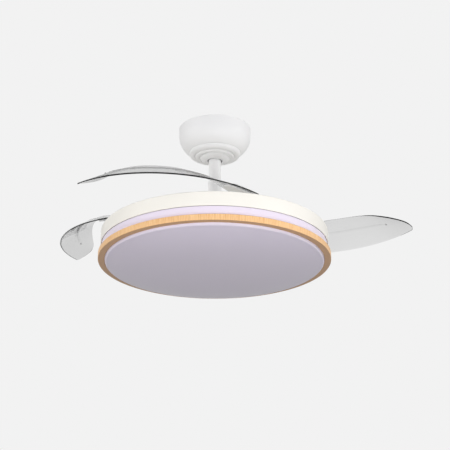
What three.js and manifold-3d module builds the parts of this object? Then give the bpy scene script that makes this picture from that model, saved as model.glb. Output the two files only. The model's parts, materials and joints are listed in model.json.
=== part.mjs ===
// Ceiling fan with three retractable clear blades above a round lamp.
// Millimetres, +Z up. The origin is the centre of the bracket's ceiling face, and the fan hangs
// below it, so every height is negative. The blades are modelled once in their own frame: the
// pivot is the origin, +X runs to the outer tip corner and +Y is the convex side.
import * as THREE from 'three';
import { mergeVertices } from 'three/addons/utils/BufferGeometryUtils.js';
import Module from 'manifold-3d';

const wasm = await Module();
wasm.setup();

// ---------------------------------------------------------------- driving dimensions
const GAP = 0.3;                    // clearance between pieces that touch
const RUNNING_GAP = 0.15;           // radial clearance of a turning fit

// canopy and what hangs from the ceiling
const CANOPY_RADIUS = 79;
const CANOPY_WALL = 1.2;
const CANOPY_STRAIGHT = 17;         // height of the straight band under the ceiling
const CANOPY_DEPTH = 57;            // ceiling to the step above the trim ring
const CANOPY_STEP_RADIUS = 57;
const CANOPY_FLANGE_RADIUS = 46;    // inner edge of the floor flange
const TRIM_DEPTH = 9;               // trim ring, from the step down
const TRIM_INNER_RADIUS = 44.2;
const TRIM_WALL = 1.5;
const COVER_GROOVE = 0.7;           // dark groove between trim ring and ball cover
const COVER_CREST_DROP = 4;         // how far the raised ring stands below the trim ring
const COVER_RING_WIDTH = 10.5;
const COVER_DOME_RADIUS = 32.5;      // dome inside the raised ring
const COVER_DOME_DROP = 10.2;        // how far the dome stands below the trim ring
const COVER_HOLE_RADIUS = 17;        // lets the downrod swing
const COVER_WALL = 1.5;
const BRACKET_SHEET = 2.5;
const BRACKET_LENGTH = 120;
const BRACKET_WIDTH = 38;
const BRACKET_ARM_SPAN = 89;        // outside of the two arms
const BRACKET_EAR_RADIUS = 5.5;       // ears for the canopy screws
const SLOT_SPACING = 104;           // fixing slots in the ceiling plate
const SLOT_LENGTH = 11;
const SLOT_WIDTH = 5;
const WIRE_HOLE_RADIUS = 8;
const WIRE_HOLE_X = 26;
const SCREW_SPACING = 100;          // canopy screws
const SCREW_RADIUS = 2;
const SCREW_HEAD_RADIUS = 3.6;
const SCREW_HEAD_HEIGHT = 2;
const RECEIVER_SIZE = [78, 34, 17];
const TERMINAL_SIZE = [11, 30, 13];

// ball and downrod
const BALL_RADIUS = 22;
const BALL_DEPTH = 40;              // ceiling to the ball's centre
const BALL_HALF_HEIGHT = 14;
const SOCKET_WALL = 4.2;
const SOCKET_HEIGHT = 10;
const ROD_RADIUS = 13.35;
const ROD_WALL = 2.2;
const ROD_STANDS_PROUD = 12;        // rod above the ball's centre
const ROD_LENGTH = 148;
const BALL_PIN_RADIUS = 3;
const BALL_PIN_LENGTH = 36;

// collar that joins the downrod to the motor shaft
const COLLAR_RADIUS = 15;
const COLLAR_TOP_DEPTH = 127;
const COLLAR_LENGTH = 57;
const COLLAR_FOOT_RADIUS = 24;
const COLLAR_FOOT_HEIGHT = 6;
const COLLAR_FLOOR = 4;
const YOKE_PIN_RADIUS = 2.5;
const YOKE_PIN_LENGTH = 34;
const YOKE_PIN_RISE = 25;           // above the collar's foot face

// motor
const MOTOR_RADIUS = 70;
const MOTOR_TOP_DEPTH = 200;
const MOTOR_HEIGHT = 38.7;
const MOTOR_SPLIT = 19;             // motor top to the joint line of the two covers
const MOTOR_CORNER = 9;
const MOTOR_WALL = 2.5;
const SHAFT_RADIUS = 8.5;
const SHAFT_BORE_RADIUS = 5.5;
const SHAFT_SHOULDER_RADIUS = 13;
const SHAFT_SHOULDER_HEIGHT = 3.7;
const BEARING_RADIUS = 17.4;
const BEARING_HEIGHT = 9.6;
const BEARING_BOSS_WALL = 3;
const COVER_SHAFT_HOLE = 12;
const CORE_HEIGHT = 12;
const CORE_YOKE_RADIUS = 30;
const CORE_TEETH = 9;
const TOOTH_HALF_WIDTH = 5;
const TOOTH_SHOE_DEPTH = 6;
const COIL_BUILD = 3.9;             // thickness of winding round a tooth
const COIL_LENGTH = 16;             // radial length of one coil
const AIR_GAP = 0.8;
const MAGNET_THICKNESS = 6.2;
const MAGNET_HEIGHT = 14;

// blade carrier and pivots
const CARRIER_THICKNESS = 3;
const CARRIER_HUB_RADIUS = 62;
const CARRIER_BORE_RADIUS = 20;
const CARRIER_ARM_WIDTH = 44;
const CARRIER_SLOT_LENGTH = 44;
const CARRIER_SLOT_WIDTH = 18;
const PIVOT_RADIUS = 162;           // fan axis to the blade pivots
const PIVOT_LOBE_RADIUS = 28;
const PIVOT_BOSS_RADIUS = 13;
const PIVOT_BOSS_HEIGHT = 11;
const WASHER_THICKNESS = 1;
const PIN_RADIUS = 4;
const PIN_HEAD_RADIUS = 8.5;
const PIN_HEAD_HEIGHT = 2.6;
const BUSH_WALL = 1.9;
const STOP_DISTANCE = 17.5;         // stop posts, from the pivot
const STOP_RADIUS = 2.8;
const STOP_CLEARANCE = 0.5;

// blades
const BLADE_COUNT = 3;
const FIRST_PIVOT_ANGLE = -49.2;    // degrees from +X, seen from above
const OPEN_ANGLE = -75.8;           // blade direction from its pivot's outward radius, at the stop
const CLOSED_ANGLE = -155.8;
const REST_FOLD = [-52.5, 0, 0];    // how far each blade stands folded back from open
const BLADE_LENGTH = 396;           // pivot to outer tip corner
const BLADE_THICKNESS = 3;
const OUTER_EDGE_RADIUS = 255;      // plan radius of the convex edge
const INNER_EDGE_RADIUS = 287;      // plan radius of the concave edge
const OUTER_ROOT = [8, 21];         // plan ends of the two edges
const INNER_ROOT = [29, -29];
const INNER_TIP = [360, -32];
const ROOT_CORNER = 12;
const OUTER_TIP_CORNER = 8;
const INNER_TIP_CORNER = 36;
const ROOT_RISE = 9.7;              // convex edge at the root, above the arm's foot face
const TIP_RISE = 27.4;              // rise of the convex edge from root to tip
const RISE_POWER = 1.06;
const PITCH_STATIONS = [[0, 0], [0.12, 10], [0.35, 27], [0.6, 32], [0.82, 31], [1, 13]];
const CAMBER = 3;
const RIB_CHORD = 0.54;             // chordwise place of the stiffening rib
const RIB_HALF_WIDTH = 0.05;
const RIB_HEIGHT = 1.2;
const RIB_START = 0.2;              // lengthwise start and end of the rib
const RIB_END = 0.86;
const RIB_RUN_OUT = 0.03;           // share of the length over which the rib sinks away

// blade arm, clamp and screws
const EYE_RADIUS = 12;
const EYE_HEIGHT = 11.7;
const WEB_HALF_WIDTH = 11;
const WEB_LENGTH = 40;
const WEB_THICKNESS = 3.7;
const PAD_THICKNESS = 3;
const PAD_SPAN = [0.012, 0.2];      // lengthwise share of the blade that the arm carries
const PAD_CHORD = [0.12, 0.8];
const FOOT_SPAN = [0.012, 0.09];
const FOOT_CHORD = [0.3, 0.72];
const CLAMP_THICKNESS = 5;
const CLAMP_CLEARANCE = 0.6;        // upright, over the blade's facets
const CLAMP_SPAN = [0.02, 0.16];
const CLAMP_CORNER = 10;
const CLAMP_WIDTH = 62;             // blade's chord under the clamp
const CLAMP_CHORD = [0.16, 0.74];
const BLADE_SCREW_RADIUS = 2;
const BLADE_SCREW_HEAD_RADIUS = 5;
const BLADE_SCREW_HEAD_HEIGHT = 2.6;
const BLADE_SCREW_PLACES = [0.06, 0.125];
const BLADE_SCREW_CHORD = 0.42;

// lamp
const WOOD_RADIUS = 250;            // outside of the lamp's widest ring
const WOOD_WIDTH = 14;
const TRAY_INSET = 5.3;             // drum inside the wood ring's outside
const BAND_INSET = 7;
const TRAY_TOP_DEPTH = 247;
const TRAY_HEIGHT = 31.5;
const TRAY_WALL = 1.2;
const TRAY_TOP = 2;
const TRAY_CORNER = 3;
const LAMP_PLATE_RADIUS = 50;
const LAMP_PLATE_THICKNESS = 2.5;
const LAMP_NUT_RADIUS = 14;
const LAMP_NUT_HEIGHT = 7;
const TOP_NUT_RADIUS = 12.4;
const TOP_NUT_HEIGHT = 4;
const BASE_PLATE_THICKNESS = 1.2;
const LED_BOARD_RADIUS = 205;
const LED_BOARD_THICKNESS = 1.8;
const LED_BOARD_HOLE = 22;
const BAND_WALL = 3;
const BAND_HEIGHT = 19.5;
const BAND_REBATE = [1.5, 1.2];     // width and height of the shadow line at the band's top
const WOOD_HEIGHT = 13.4;
const WOOD_EDGE = 1;
const DIFFUSER_WALL = 2;
const DIFFUSER_FLANGE = 11;         // part of the diffuser that stands inside the wood ring
const DIFFUSER_SHOULDER_DROP = 9;
const DIFFUSER_SHOULDER_WIDTH = 11;
const DIFFUSER_DOME_DROP = 13;
const DRIVER_SIZE = [150, 46, 22];
const DRIVER_PLACE = [70, 105];
const CONTROLLER_SIZE = [92, 62, 20];
const CONTROLLER_PLACE = [-85, -75];
const BOX_CORNER = 4;

// roundness
const LAMP_SIDES = 44;
const CANOPY_SIDES = 32;
const MEDIUM_SIDES = 24;
const SMALL_SIDES = 12;
const TINY_SIDES = 8;
const CURVE_STEPS = 4;              // straight steps in a profile's curve

// ---------------------------------------------------------------- derived levels and radii
const trayRadius = WOOD_RADIUS - TRAY_INSET;
const bandRadius = WOOD_RADIUS - BAND_INSET;
const woodInnerRadius = WOOD_RADIUS - WOOD_WIDTH;
const canopyBottom = -CANOPY_DEPTH;
const trimTop = canopyBottom - GAP;
const trimBottom = trimTop - TRIM_DEPTH;
const earBottom = canopyBottom + CANOPY_WALL + GAP;
const ballLevel = -BALL_DEPTH;
const socketHole = Math.sqrt((BALL_RADIUS + GAP) ** 2 - (ballLevel - earBottom - BRACKET_SHEET) ** 2);
const rodTop = ballLevel + ROD_STANDS_PROUD;
const rodBottom = rodTop - ROD_LENGTH;
const collarTop = -COLLAR_TOP_DEPTH;
const collarFoot = collarTop - COLLAR_LENGTH - COLLAR_FOOT_HEIGHT;
const motorTop = -MOTOR_TOP_DEPTH;
const motorBottom = motorTop - MOTOR_HEIGHT;
const motorMiddle = (motorTop + motorBottom) / 2;
const carrierTop = motorBottom - GAP;
const carrierBottom = carrierTop - CARRIER_THICKNESS;
const bossTop = carrierTop + PIVOT_BOSS_HEIGHT;
const armFoot = bossTop + WASHER_THICKNESS + GAP;
const eyeTop = armFoot + EYE_HEIGHT;
const bladeRootLevel = armFoot + ROOT_RISE;
const trayTop = -TRAY_TOP_DEPTH;
const trayBottom = trayTop - TRAY_HEIGHT;
const lampPlateBottom = trayTop + GAP;
const lampPlateTop = lampPlateBottom + LAMP_PLATE_THICKNESS;
const basePlateBottom = trayBottom + 0.2;
const bandTop = trayBottom - GAP;
const bandBottom = bandTop - BAND_HEIGHT;
const woodTop = bandBottom - GAP;
const woodBottom = woodTop - WOOD_HEIGHT;

// ---------------------------------------------------------------- small helpers
const rad = THREE.MathUtils.degToRad;

/** Points of an arc in a profile: centre, radius, and start and end angle in degrees. */
function arc(cx, cz, radius, from, to, steps) {
  return Array.from({ length: steps + 1 }, (_, i) => {
    const a = rad(from + ((to - from) * i) / steps);
    return [cx + radius * Math.cos(a), cz + radius * Math.sin(a)];
  });
}

/** A closed profile of [radius, height] points turned about +Z. */
function turned(profile, sides = MEDIUM_SIDES) {
  const points = [...profile, profile[0]].map(([r, z]) => new THREE.Vector2(Math.max(r, 0), z));
  return new THREE.LatheGeometry(points, sides).rotateX(Math.PI / 2);
}

/** A ring with a square section. */
function ring(inner, outer, bottom, top, sides = MEDIUM_SIDES) {
  return turned([[inner, bottom], [outer, bottom], [outer, top], [inner, top]], sides);
}

/** An upright cylinder. */
function cylinder(radius, bottom, top, sides = SMALL_SIDES) {
  const height = top - bottom;
  return new THREE.CylinderGeometry(radius, radius, height, sides)
    .rotateX(Math.PI / 2).translate(0, 0, bottom + height / 2);
}

/** A cylinder that lies along X. */
function crossPin(radius, length, level, sides = TINY_SIDES) {
  return new THREE.CylinderGeometry(radius, radius, length, sides)
    .rotateZ(Math.PI / 2).translate(0, 0, level);
}

/** A box from its size and the middle of its lower face. */
function block([x, y, z], [cx, cy], bottom) {
  return new THREE.BoxGeometry(x, y, z).translate(cx, cy, bottom + z / 2);
}

/** A flat outline drawn up from a level. */
function plate(shape, bottom, thickness, curveSegments = 12) {
  return new THREE.ExtrudeGeometry(shape, { depth: thickness, bevelEnabled: false, curveSegments })
    .translate(0, 0, bottom);
}

/** A rectangle with round corners. */
function roundedRectangle(width, height, corner) {
  const x = width / 2 - corner;
  const y = height / 2 - corner;
  const shape = new THREE.Shape();
  shape.absarc(x, y, corner, 0, Math.PI / 2);
  shape.absarc(-x, y, corner, Math.PI / 2, Math.PI);
  shape.absarc(-x, -y, corner, Math.PI, 1.5 * Math.PI);
  shape.absarc(x, -y, corner, 1.5 * Math.PI, 2 * Math.PI);
  return shape;
}

/** A closed mesh as a solid for joining and cutting. */
function toSolid(geometry) {
  const bare = geometry.clone();
  bare.deleteAttribute('normal');
  bare.deleteAttribute('uv');
  const merged = mergeVertices(bare, 1e-4);
  const source = merged.index.array;
  const place = merged.attributes.position;
  const corners = [new THREE.Vector3(), new THREE.Vector3(), new THREE.Vector3()];
  const kept = [];
  let volume = 0;
  for (let i = 0; i < source.length; i += 3) {
    const [a, b, c] = [source[i], source[i + 1], source[i + 2]];
    if (a === b || b === c || a === c) continue;
    kept.push(a, b, c);
    [a, b, c].forEach((index, k) => corners[k].fromBufferAttribute(place, index));
    volume += corners[0].dot(corners[1].clone().cross(corners[2]));
  }
  if (volume < 0) kept.reverse();
  return new wasm.Manifold(new wasm.Mesh({
    numProp: 3,
    vertProperties: new Float32Array(place.array),
    triVerts: new Uint32Array(kept),
  }));
}

/** A solid back as a mesh geometry. */
function toGeometry(solid) {
  const mesh = solid.getMesh();
  const geometry = new THREE.BufferGeometry();
  geometry.setAttribute('position', new THREE.BufferAttribute(new Float32Array(mesh.vertProperties), 3));
  geometry.setIndex(new THREE.BufferAttribute(new Uint32Array(mesh.triVerts), 1));
  geometry.computeVertexNormals();
  return geometry;
}

/** Joins some geometries and cuts others away from the result. */
function shaped(joined, cuts = []) {
  const [first, ...rest] = joined.map(toSolid);
  const body = rest.reduce((sum, next) => sum.add(next), first);
  return toGeometry(cuts.map(toSolid).reduce((left, tool) => left.subtract(tool), body));
}

/** A hexagonal nut with a round bore. */
function hexNut(radius, bore, bottom, height) {
  return shaped([cylinder(radius, bottom, bottom + height, 6)],
    [cylinder(bore, bottom - 1, bottom + height + 1)]);
}

// ---------------------------------------------------------------- ceiling pieces
/** Sheet-metal hanger: ceiling plate, two arms, and a lower plate with an open ball socket. */
function ceilingBracket() {
  const earTop = earBottom + BRACKET_SHEET;
  const strap = [
    block([BRACKET_LENGTH, BRACKET_WIDTH, BRACKET_SHEET], [0, 0], -BRACKET_SHEET),
    block([BRACKET_ARM_SPAN, BRACKET_WIDTH, BRACKET_SHEET], [0, 0], earBottom),
    block([SCREW_SPACING, 2 * BRACKET_EAR_RADIUS, BRACKET_SHEET], [0, 0], earBottom),
    ...[-1, 1].map((side) => cylinder(BRACKET_EAR_RADIUS, earBottom, earTop)
      .translate((side * SCREW_SPACING) / 2, 0, 0)),
    ...[-1, 1].map((side) => block([BRACKET_SHEET, BRACKET_WIDTH, -earBottom],
      [(side * (BRACKET_ARM_SPAN - BRACKET_SHEET)) / 2, 0], earBottom)),
  ];
  const socketOuter = BALL_RADIUS + GAP + SOCKET_WALL;
  const socket = cylinder(socketOuter, earBottom, earTop + SOCKET_HEIGHT, MEDIUM_SIDES);
  const ballRoom = new THREE.SphereGeometry(BALL_RADIUS + 2 * GAP, MEDIUM_SIDES, 2 * TINY_SIDES)
    .rotateX(Math.PI / 2).translate(0, 0, ballLevel);
  const wayIn = (ROD_RADIUS + 1) * 2;
  const slots = [-1, 1].map((side) => plate(
    roundedRectangle(SLOT_LENGTH, SLOT_WIDTH, SLOT_WIDTH / 2 - 0.01), -BRACKET_SHEET - 1,
    BRACKET_SHEET + 2, 6).translate((side * SLOT_SPACING) / 2, 0, 0));
  const screwHoles = [-1, 1].map((side) => cylinder(SCREW_RADIUS + GAP, earBottom - 1, earTop + 1, TINY_SIDES)
    .translate((side * SCREW_SPACING) / 2, 0, 0));
  return shaped([...strap, socket], [
    ballRoom,
    cylinder(socketHole, earBottom - 1, ballLevel, MEDIUM_SIDES),
    block([wayIn, BRACKET_WIDTH, SOCKET_HEIGHT + 8], [0, BRACKET_WIDTH / 2], earBottom - 1),
    cylinder(WIRE_HOLE_RADIUS, -BRACKET_SHEET - 1, 1).translate(WIRE_HOLE_X, 0, 0),
    ...slots, ...screwHoles,
  ]);
}

/** Thin bowl with a straight band, a bowl-shaped underside and a floor flange. */
function canopyShell() {
  const inset = CANOPY_RADIUS - CANOPY_STEP_RADIUS;
  const drop = CANOPY_DEPTH - CANOPY_STRAIGHT;
  const bowl = (inset ** 2 + drop ** 2) / (2 * inset);
  const centre = CANOPY_RADIUS - bowl;
  const reach = (radius, height) => -THREE.MathUtils.radToDeg(Math.asin(height / radius));
  const innerBowl = bowl - CANOPY_WALL;
  const outer = arc(centre, -CANOPY_STRAIGHT, bowl, 0, reach(bowl, drop), CURVE_STEPS + 1);
  const innerReach = reach(innerBowl, drop - CANOPY_WALL);
  const inner = arc(centre, -CANOPY_STRAIGHT, innerBowl, innerReach, 0, CURVE_STEPS);
  const shell = turned([
    [CANOPY_RADIUS, -0.2], ...outer, [CANOPY_FLANGE_RADIUS, canopyBottom],
    [CANOPY_FLANGE_RADIUS, canopyBottom + CANOPY_WALL], ...inner, [CANOPY_RADIUS - CANOPY_WALL, -0.2],
  ], CANOPY_SIDES);
  const holes = [-1, 1].map((side) => cylinder(SCREW_RADIUS + GAP, canopyBottom - 1,
    canopyBottom + CANOPY_WALL + 1, TINY_SIDES).translate((side * SCREW_SPACING) / 2, 0, 0));
  return shaped([shell], holes);
}

/** Rounded hollow ring that hides the canopy screws. */
function canopyTrimRing() {
  const centre = TRIM_INNER_RADIUS + TRIM_WALL + 0.3;
  const wide = CANOPY_STEP_RADIUS - 0.3 - centre;
  const curve = (inset, from, to) => Array.from({ length: CURVE_STEPS + 1 }, (_, i) => {
    const a = rad(from + ((to - from) * i) / CURVE_STEPS);
    return [centre + (wide - inset) * Math.cos(a), trimTop - (TRIM_DEPTH - inset) * Math.sin(a)];
  });
  return turned([
    ...curve(0, 0, 90), [TRIM_INNER_RADIUS, trimBottom], [TRIM_INNER_RADIUS, trimTop - 1],
    [TRIM_INNER_RADIUS + TRIM_WALL, trimTop - 1], ...curve(TRIM_WALL, 90, 0),
  ], CANOPY_SIDES);
}

/** Raised ring and dome that close the canopy round the downrod. */
function ballCover() {
  const outer = TRIM_INNER_RADIUS - COVER_GROOVE;
  const half = COVER_RING_WIDTH / 2;
  const crestEnd = 150;
  const lip = COVER_HOLE_RADIUS + 1.3;
  const domeTop = trimBottom - COVER_CREST_DROP / 2;
  const domeBottom = trimBottom - COVER_DOME_DROP;
  const curve = (middle, top, width, depth, end) => Array.from({ length: CURVE_STEPS + 1 }, (_, i) => {
    const a = rad((end * i) / CURVE_STEPS);
    return [middle + width * Math.cos(a), top - depth * Math.sin(a)];
  });
  const crest = (inset) => curve(outer - half, trimBottom, half - inset, COVER_CREST_DROP - inset, crestEnd);
  const dome = (inset) => curve(lip, domeTop, COVER_DOME_RADIUS - lip - inset,
    domeTop - domeBottom - inset, 90);
  return turned([
    [outer, trimTop - 1], ...crest(0), ...dome(0),
    [COVER_HOLE_RADIUS, domeBottom + 0.3], [COVER_HOLE_RADIUS, domeBottom + COVER_WALL],
    ...dome(COVER_WALL).reverse(), [COVER_DOME_RADIUS, domeTop + COVER_WALL],
    ...crest(COVER_WALL).reverse(), [outer - COVER_WALL, trimTop - 1],
  ], CANOPY_SIDES);
}

/** Upright canopy screw with its head under the floor flange. */
function canopyScrew() {
  const headTop = canopyBottom - GAP;
  return shaped([
    cylinder(SCREW_RADIUS, headTop - 1, earBottom + BRACKET_SHEET, TINY_SIDES),
    cylinder(SCREW_HEAD_RADIUS, headTop - SCREW_HEAD_HEIGHT, headTop, TINY_SIDES),
  ]);
}

/** Rounded housing of the remote-control receiver, with a wire hole at each end. */
function receiver() {
  const [x, y, z] = RECEIVER_SIZE;
  const top = -BRACKET_SHEET - GAP;
  const lead = new THREE.CylinderGeometry(3, 3, 8, TINY_SIDES).rotateZ(Math.PI / 2);
  return shaped([plate(roundedRectangle(x, y, BOX_CORNER), top - z, z, 4)],
    [-1, 1].map((side) => lead.clone().translate((side * x) / 2, 0, top - z / 2)));
}

/** Three-way terminal block with its wire pockets. */
function terminalBlock() {
  const [x, y, z] = TERMINAL_SIZE;
  const top = -BRACKET_SHEET - GAP;
  const place = BRACKET_ARM_SPAN / 2 + GAP + x / 2;
  const pockets = [-1, 0, 1].map((i) => new THREE.CylinderGeometry(2.2, 2.2, 8, TINY_SIDES)
    .rotateZ(Math.PI / 2).translate(place + x / 2, (i * y) / 3.4, top - z / 2));
  return shaped([block([x, y, z], [place, 0], top - z)], pockets);
}

// ---------------------------------------------------------------- ball, downrod and collar
/** Truncated ball with the rod's bore and the cross pin's hole. */
function hangerBall() {
  const edge = THREE.MathUtils.radToDeg(Math.asin(BALL_HALF_HEIGHT / BALL_RADIUS));
  const bore = ROD_RADIUS + RUNNING_GAP;
  const ball = turned([
    ...arc(0, ballLevel, BALL_RADIUS, -edge, edge, CURVE_STEPS + 2),
    [bore, ballLevel + BALL_HALF_HEIGHT], [bore, ballLevel - BALL_HALF_HEIGHT],
  ]);
  return shaped([ball], [crossPin(BALL_PIN_RADIUS + RUNNING_GAP, BALL_RADIUS * 2.2, ballLevel)]);
}

/** Steel tube with a cross hole at each end. */
function downrod() {
  const tube = ring(ROD_RADIUS - ROD_WALL, ROD_RADIUS, rodBottom, rodTop);
  return shaped([tube], [
    crossPin(BALL_PIN_RADIUS + RUNNING_GAP, ROD_RADIUS * 3, ballLevel),
    crossPin(YOKE_PIN_RADIUS + RUNNING_GAP, ROD_RADIUS * 3, collarFoot + YOKE_PIN_RISE),
  ]);
}

/** Sleeve with a flared foot that holds the downrod over the motor shaft. */
function yokeCollar() {
  const bore = ROD_RADIUS + RUNNING_GAP;
  const flareTop = collarFoot + COLLAR_FOOT_HEIGHT;
  const sleeve = turned([
    [bore, collarTop], [COLLAR_RADIUS, collarTop], [COLLAR_RADIUS, flareTop],
    [COLLAR_RADIUS + 3, flareTop - 2], [COLLAR_FOOT_RADIUS, collarFoot + 2],
    [COLLAR_FOOT_RADIUS, collarFoot], [SHAFT_RADIUS + GAP, collarFoot],
    [SHAFT_RADIUS + GAP, collarFoot + COLLAR_FLOOR], [bore, collarFoot + COLLAR_FLOOR],
  ]);
  return shaped([sleeve],
    [crossPin(YOKE_PIN_RADIUS + RUNNING_GAP, COLLAR_RADIUS * 3, collarFoot + YOKE_PIN_RISE)]);
}

// ---------------------------------------------------------------- motor
/** Hollow standing shaft with an upper shoulder under the collar and a lower one over the lamp. */
function motorShaft() {
  const top = collarFoot + COLLAR_FLOOR + GAP + TOP_NUT_HEIGHT + 1;
  const bottom = trayTop - TRAY_TOP - GAP - LAMP_NUT_HEIGHT - 3;
  const upper = collarFoot - GAP;
  const lower = lampPlateTop + GAP;
  return turned([
    [SHAFT_BORE_RADIUS, bottom], [SHAFT_RADIUS, bottom], [SHAFT_RADIUS, lower],
    [SHAFT_SHOULDER_RADIUS, lower], [SHAFT_SHOULDER_RADIUS, carrierTop - 1.5],
    [SHAFT_RADIUS, carrierTop - 0.5],
    [SHAFT_RADIUS, upper - SHAFT_SHOULDER_HEIGHT], [SHAFT_SHOULDER_RADIUS, upper - SHAFT_SHOULDER_HEIGHT],
    [SHAFT_SHOULDER_RADIUS, upper], [SHAFT_RADIUS, upper], [SHAFT_RADIUS, top], [SHAFT_BORE_RADIUS, top],
  ], SMALL_SIDES);
}

/** Upper half of the turning motor housing, with the bearing's boss inside. */
function motorUpperCover() {
  const corner = MOTOR_CORNER;
  const joint = motorTop - MOTOR_SPLIT;
  const boss = BEARING_RADIUS + GAP;
  return turned([
    [COVER_SHAFT_HOLE, motorTop],
    ...arc(MOTOR_RADIUS - corner, motorTop - corner, corner, 90, 0, CURVE_STEPS - 1),
    [MOTOR_RADIUS, joint], [MOTOR_RADIUS - MOTOR_WALL, joint],
    ...arc(MOTOR_RADIUS - corner, motorTop - corner, corner - MOTOR_WALL, 0, 90, CURVE_STEPS - 2),
    [boss + BEARING_BOSS_WALL, motorTop - MOTOR_WALL],
    [boss + BEARING_BOSS_WALL, motorTop - MOTOR_WALL - BEARING_HEIGHT],
    [boss, motorTop - MOTOR_WALL - BEARING_HEIGHT], [boss, motorTop - MOTOR_WALL],
    [COVER_SHAFT_HOLE, motorTop - MOTOR_WALL],
  ]);
}

/** Lower half of the motor housing, which the blade carrier is bolted to. */
function motorLowerCover() {
  const corner = MOTOR_CORNER;
  const joint = motorTop - MOTOR_SPLIT - GAP;
  const boss = BEARING_RADIUS + GAP;
  const floor = motorBottom + MOTOR_WALL;
  return turned([
    [COVER_SHAFT_HOLE, motorBottom], [COVER_SHAFT_HOLE, floor], [boss, floor], [boss, floor + BEARING_HEIGHT],
    [boss + BEARING_BOSS_WALL, floor + BEARING_HEIGHT], [boss + BEARING_BOSS_WALL, floor],
    ...arc(MOTOR_RADIUS - corner, motorBottom + corner, corner - MOTOR_WALL, -90, 0, CURVE_STEPS - 2),
    [MOTOR_RADIUS - MOTOR_WALL, joint], [MOTOR_RADIUS, joint],
    ...arc(MOTOR_RADIUS - corner, motorBottom + corner, corner, 0, -90, CURVE_STEPS - 1),
  ]);
}

/** Radius of the stator over its tooth shoes. */
function statorRadius() {
  return MOTOR_RADIUS - MOTOR_WALL - GAP - MAGNET_THICKNESS - AIR_GAP;
}

/** Toothed stator core. */
function statorCore() {
  const tip = statorRadius();
  const shoe = tip - TOOTH_SHOE_DEPTH / 2;
  const pitch = 360 / CORE_TEETH;
  const shoeHalf = rad(pitch * 0.41);
  const shape = new THREE.Shape();
  for (let i = 0; i < CORE_TEETH; i += 1) {
    const middle = rad(i * pitch);
    const at = (radius, offset) => [radius * Math.cos(middle + offset), radius * Math.sin(middle + offset)];
    const neck = (radius, side) => at(Math.hypot(radius, TOOTH_HALF_WIDTH),
      side * Math.atan2(TOOTH_HALF_WIDTH, radius));
    const outline = [
      neck(CORE_YOKE_RADIUS, -1), neck(tip - TOOTH_SHOE_DEPTH, -1), at(shoe, -shoeHalf), at(tip, -shoeHalf),
      at(tip, 0), at(tip, shoeHalf), at(shoe, shoeHalf),
      neck(tip - TOOTH_SHOE_DEPTH, 1), neck(CORE_YOKE_RADIUS, 1),
    ];
    outline.forEach(([x, y], k) => (i === 0 && k === 0 ? shape.moveTo(x, y) : shape.lineTo(x, y)));
  }
  const bore = new THREE.Path();
  bore.absarc(0, 0, SHAFT_RADIUS + 2 * GAP, 0, 2 * Math.PI, true);
  shape.holes.push(bore);
  const hubHalf = MOTOR_HEIGHT / 2 - MOTOR_WALL - BEARING_HEIGHT - GAP;
  const hub = ring(SHAFT_RADIUS + 2 * GAP, CORE_YOKE_RADIUS - 10,
    motorMiddle - hubHalf, motorMiddle + hubHalf, SMALL_SIDES);
  return shaped([plate(shape, motorMiddle - CORE_HEIGHT / 2, CORE_HEIGHT, 6), hub]);
}

/** Copper coils round the teeth, joined by the ring that carries their ends. */
function statorWinding() {
  const inner = CORE_YOKE_RADIUS + 4;
  const high = CORE_HEIGHT + 2 * COIL_BUILD;
  const wide = 2 * (TOOTH_HALF_WIDTH + COIL_BUILD);
  const coils = [];
  const cores = [];
  for (let i = 0; i < CORE_TEETH; i += 1) {
    const turn = rad((360 * i) / CORE_TEETH);
    const middle = inner + COIL_LENGTH / 2;
    coils.push(block([COIL_LENGTH, wide, high], [middle, 0], motorMiddle - high / 2).rotateZ(turn));
    cores.push(block([COIL_LENGTH + 12, 2 * (TOOTH_HALF_WIDTH + GAP), CORE_HEIGHT + 2 * GAP], [middle, 0],
      motorMiddle - CORE_HEIGHT / 2 - GAP).rotateZ(turn));
  }
  const leadRing = ring(inner - 2, inner + 2, motorMiddle + CORE_HEIGHT / 2 + GAP,
    motorMiddle + high / 2, MEDIUM_SIDES);
  return shaped([leadRing, ...coils], cores);
}

/** Ball bearing drawn as one ring with a groove between its races. */
function bearing(bottom) {
  const top = bottom + BEARING_HEIGHT - GAP;
  const inner = SHAFT_RADIUS + RUNNING_GAP;
  const groove = (inner + BEARING_RADIUS) / 2;
  return turned([
    [inner, bottom], [BEARING_RADIUS, bottom], [BEARING_RADIUS, top], [groove + 1.5, top],
    [groove + 1.5, top - 1], [groove - 1.5, top - 1], [groove - 1.5, top], [inner, top],
  ], SMALL_SIDES);
}

// ---------------------------------------------------------------- blade carrier and pivots
/** Direction of a blade pivot from the fan's axis, in degrees. */
function pivotAngle(index) {
  return FIRST_PIVOT_ANGLE + (360 * index) / BLADE_COUNT;
}

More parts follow.
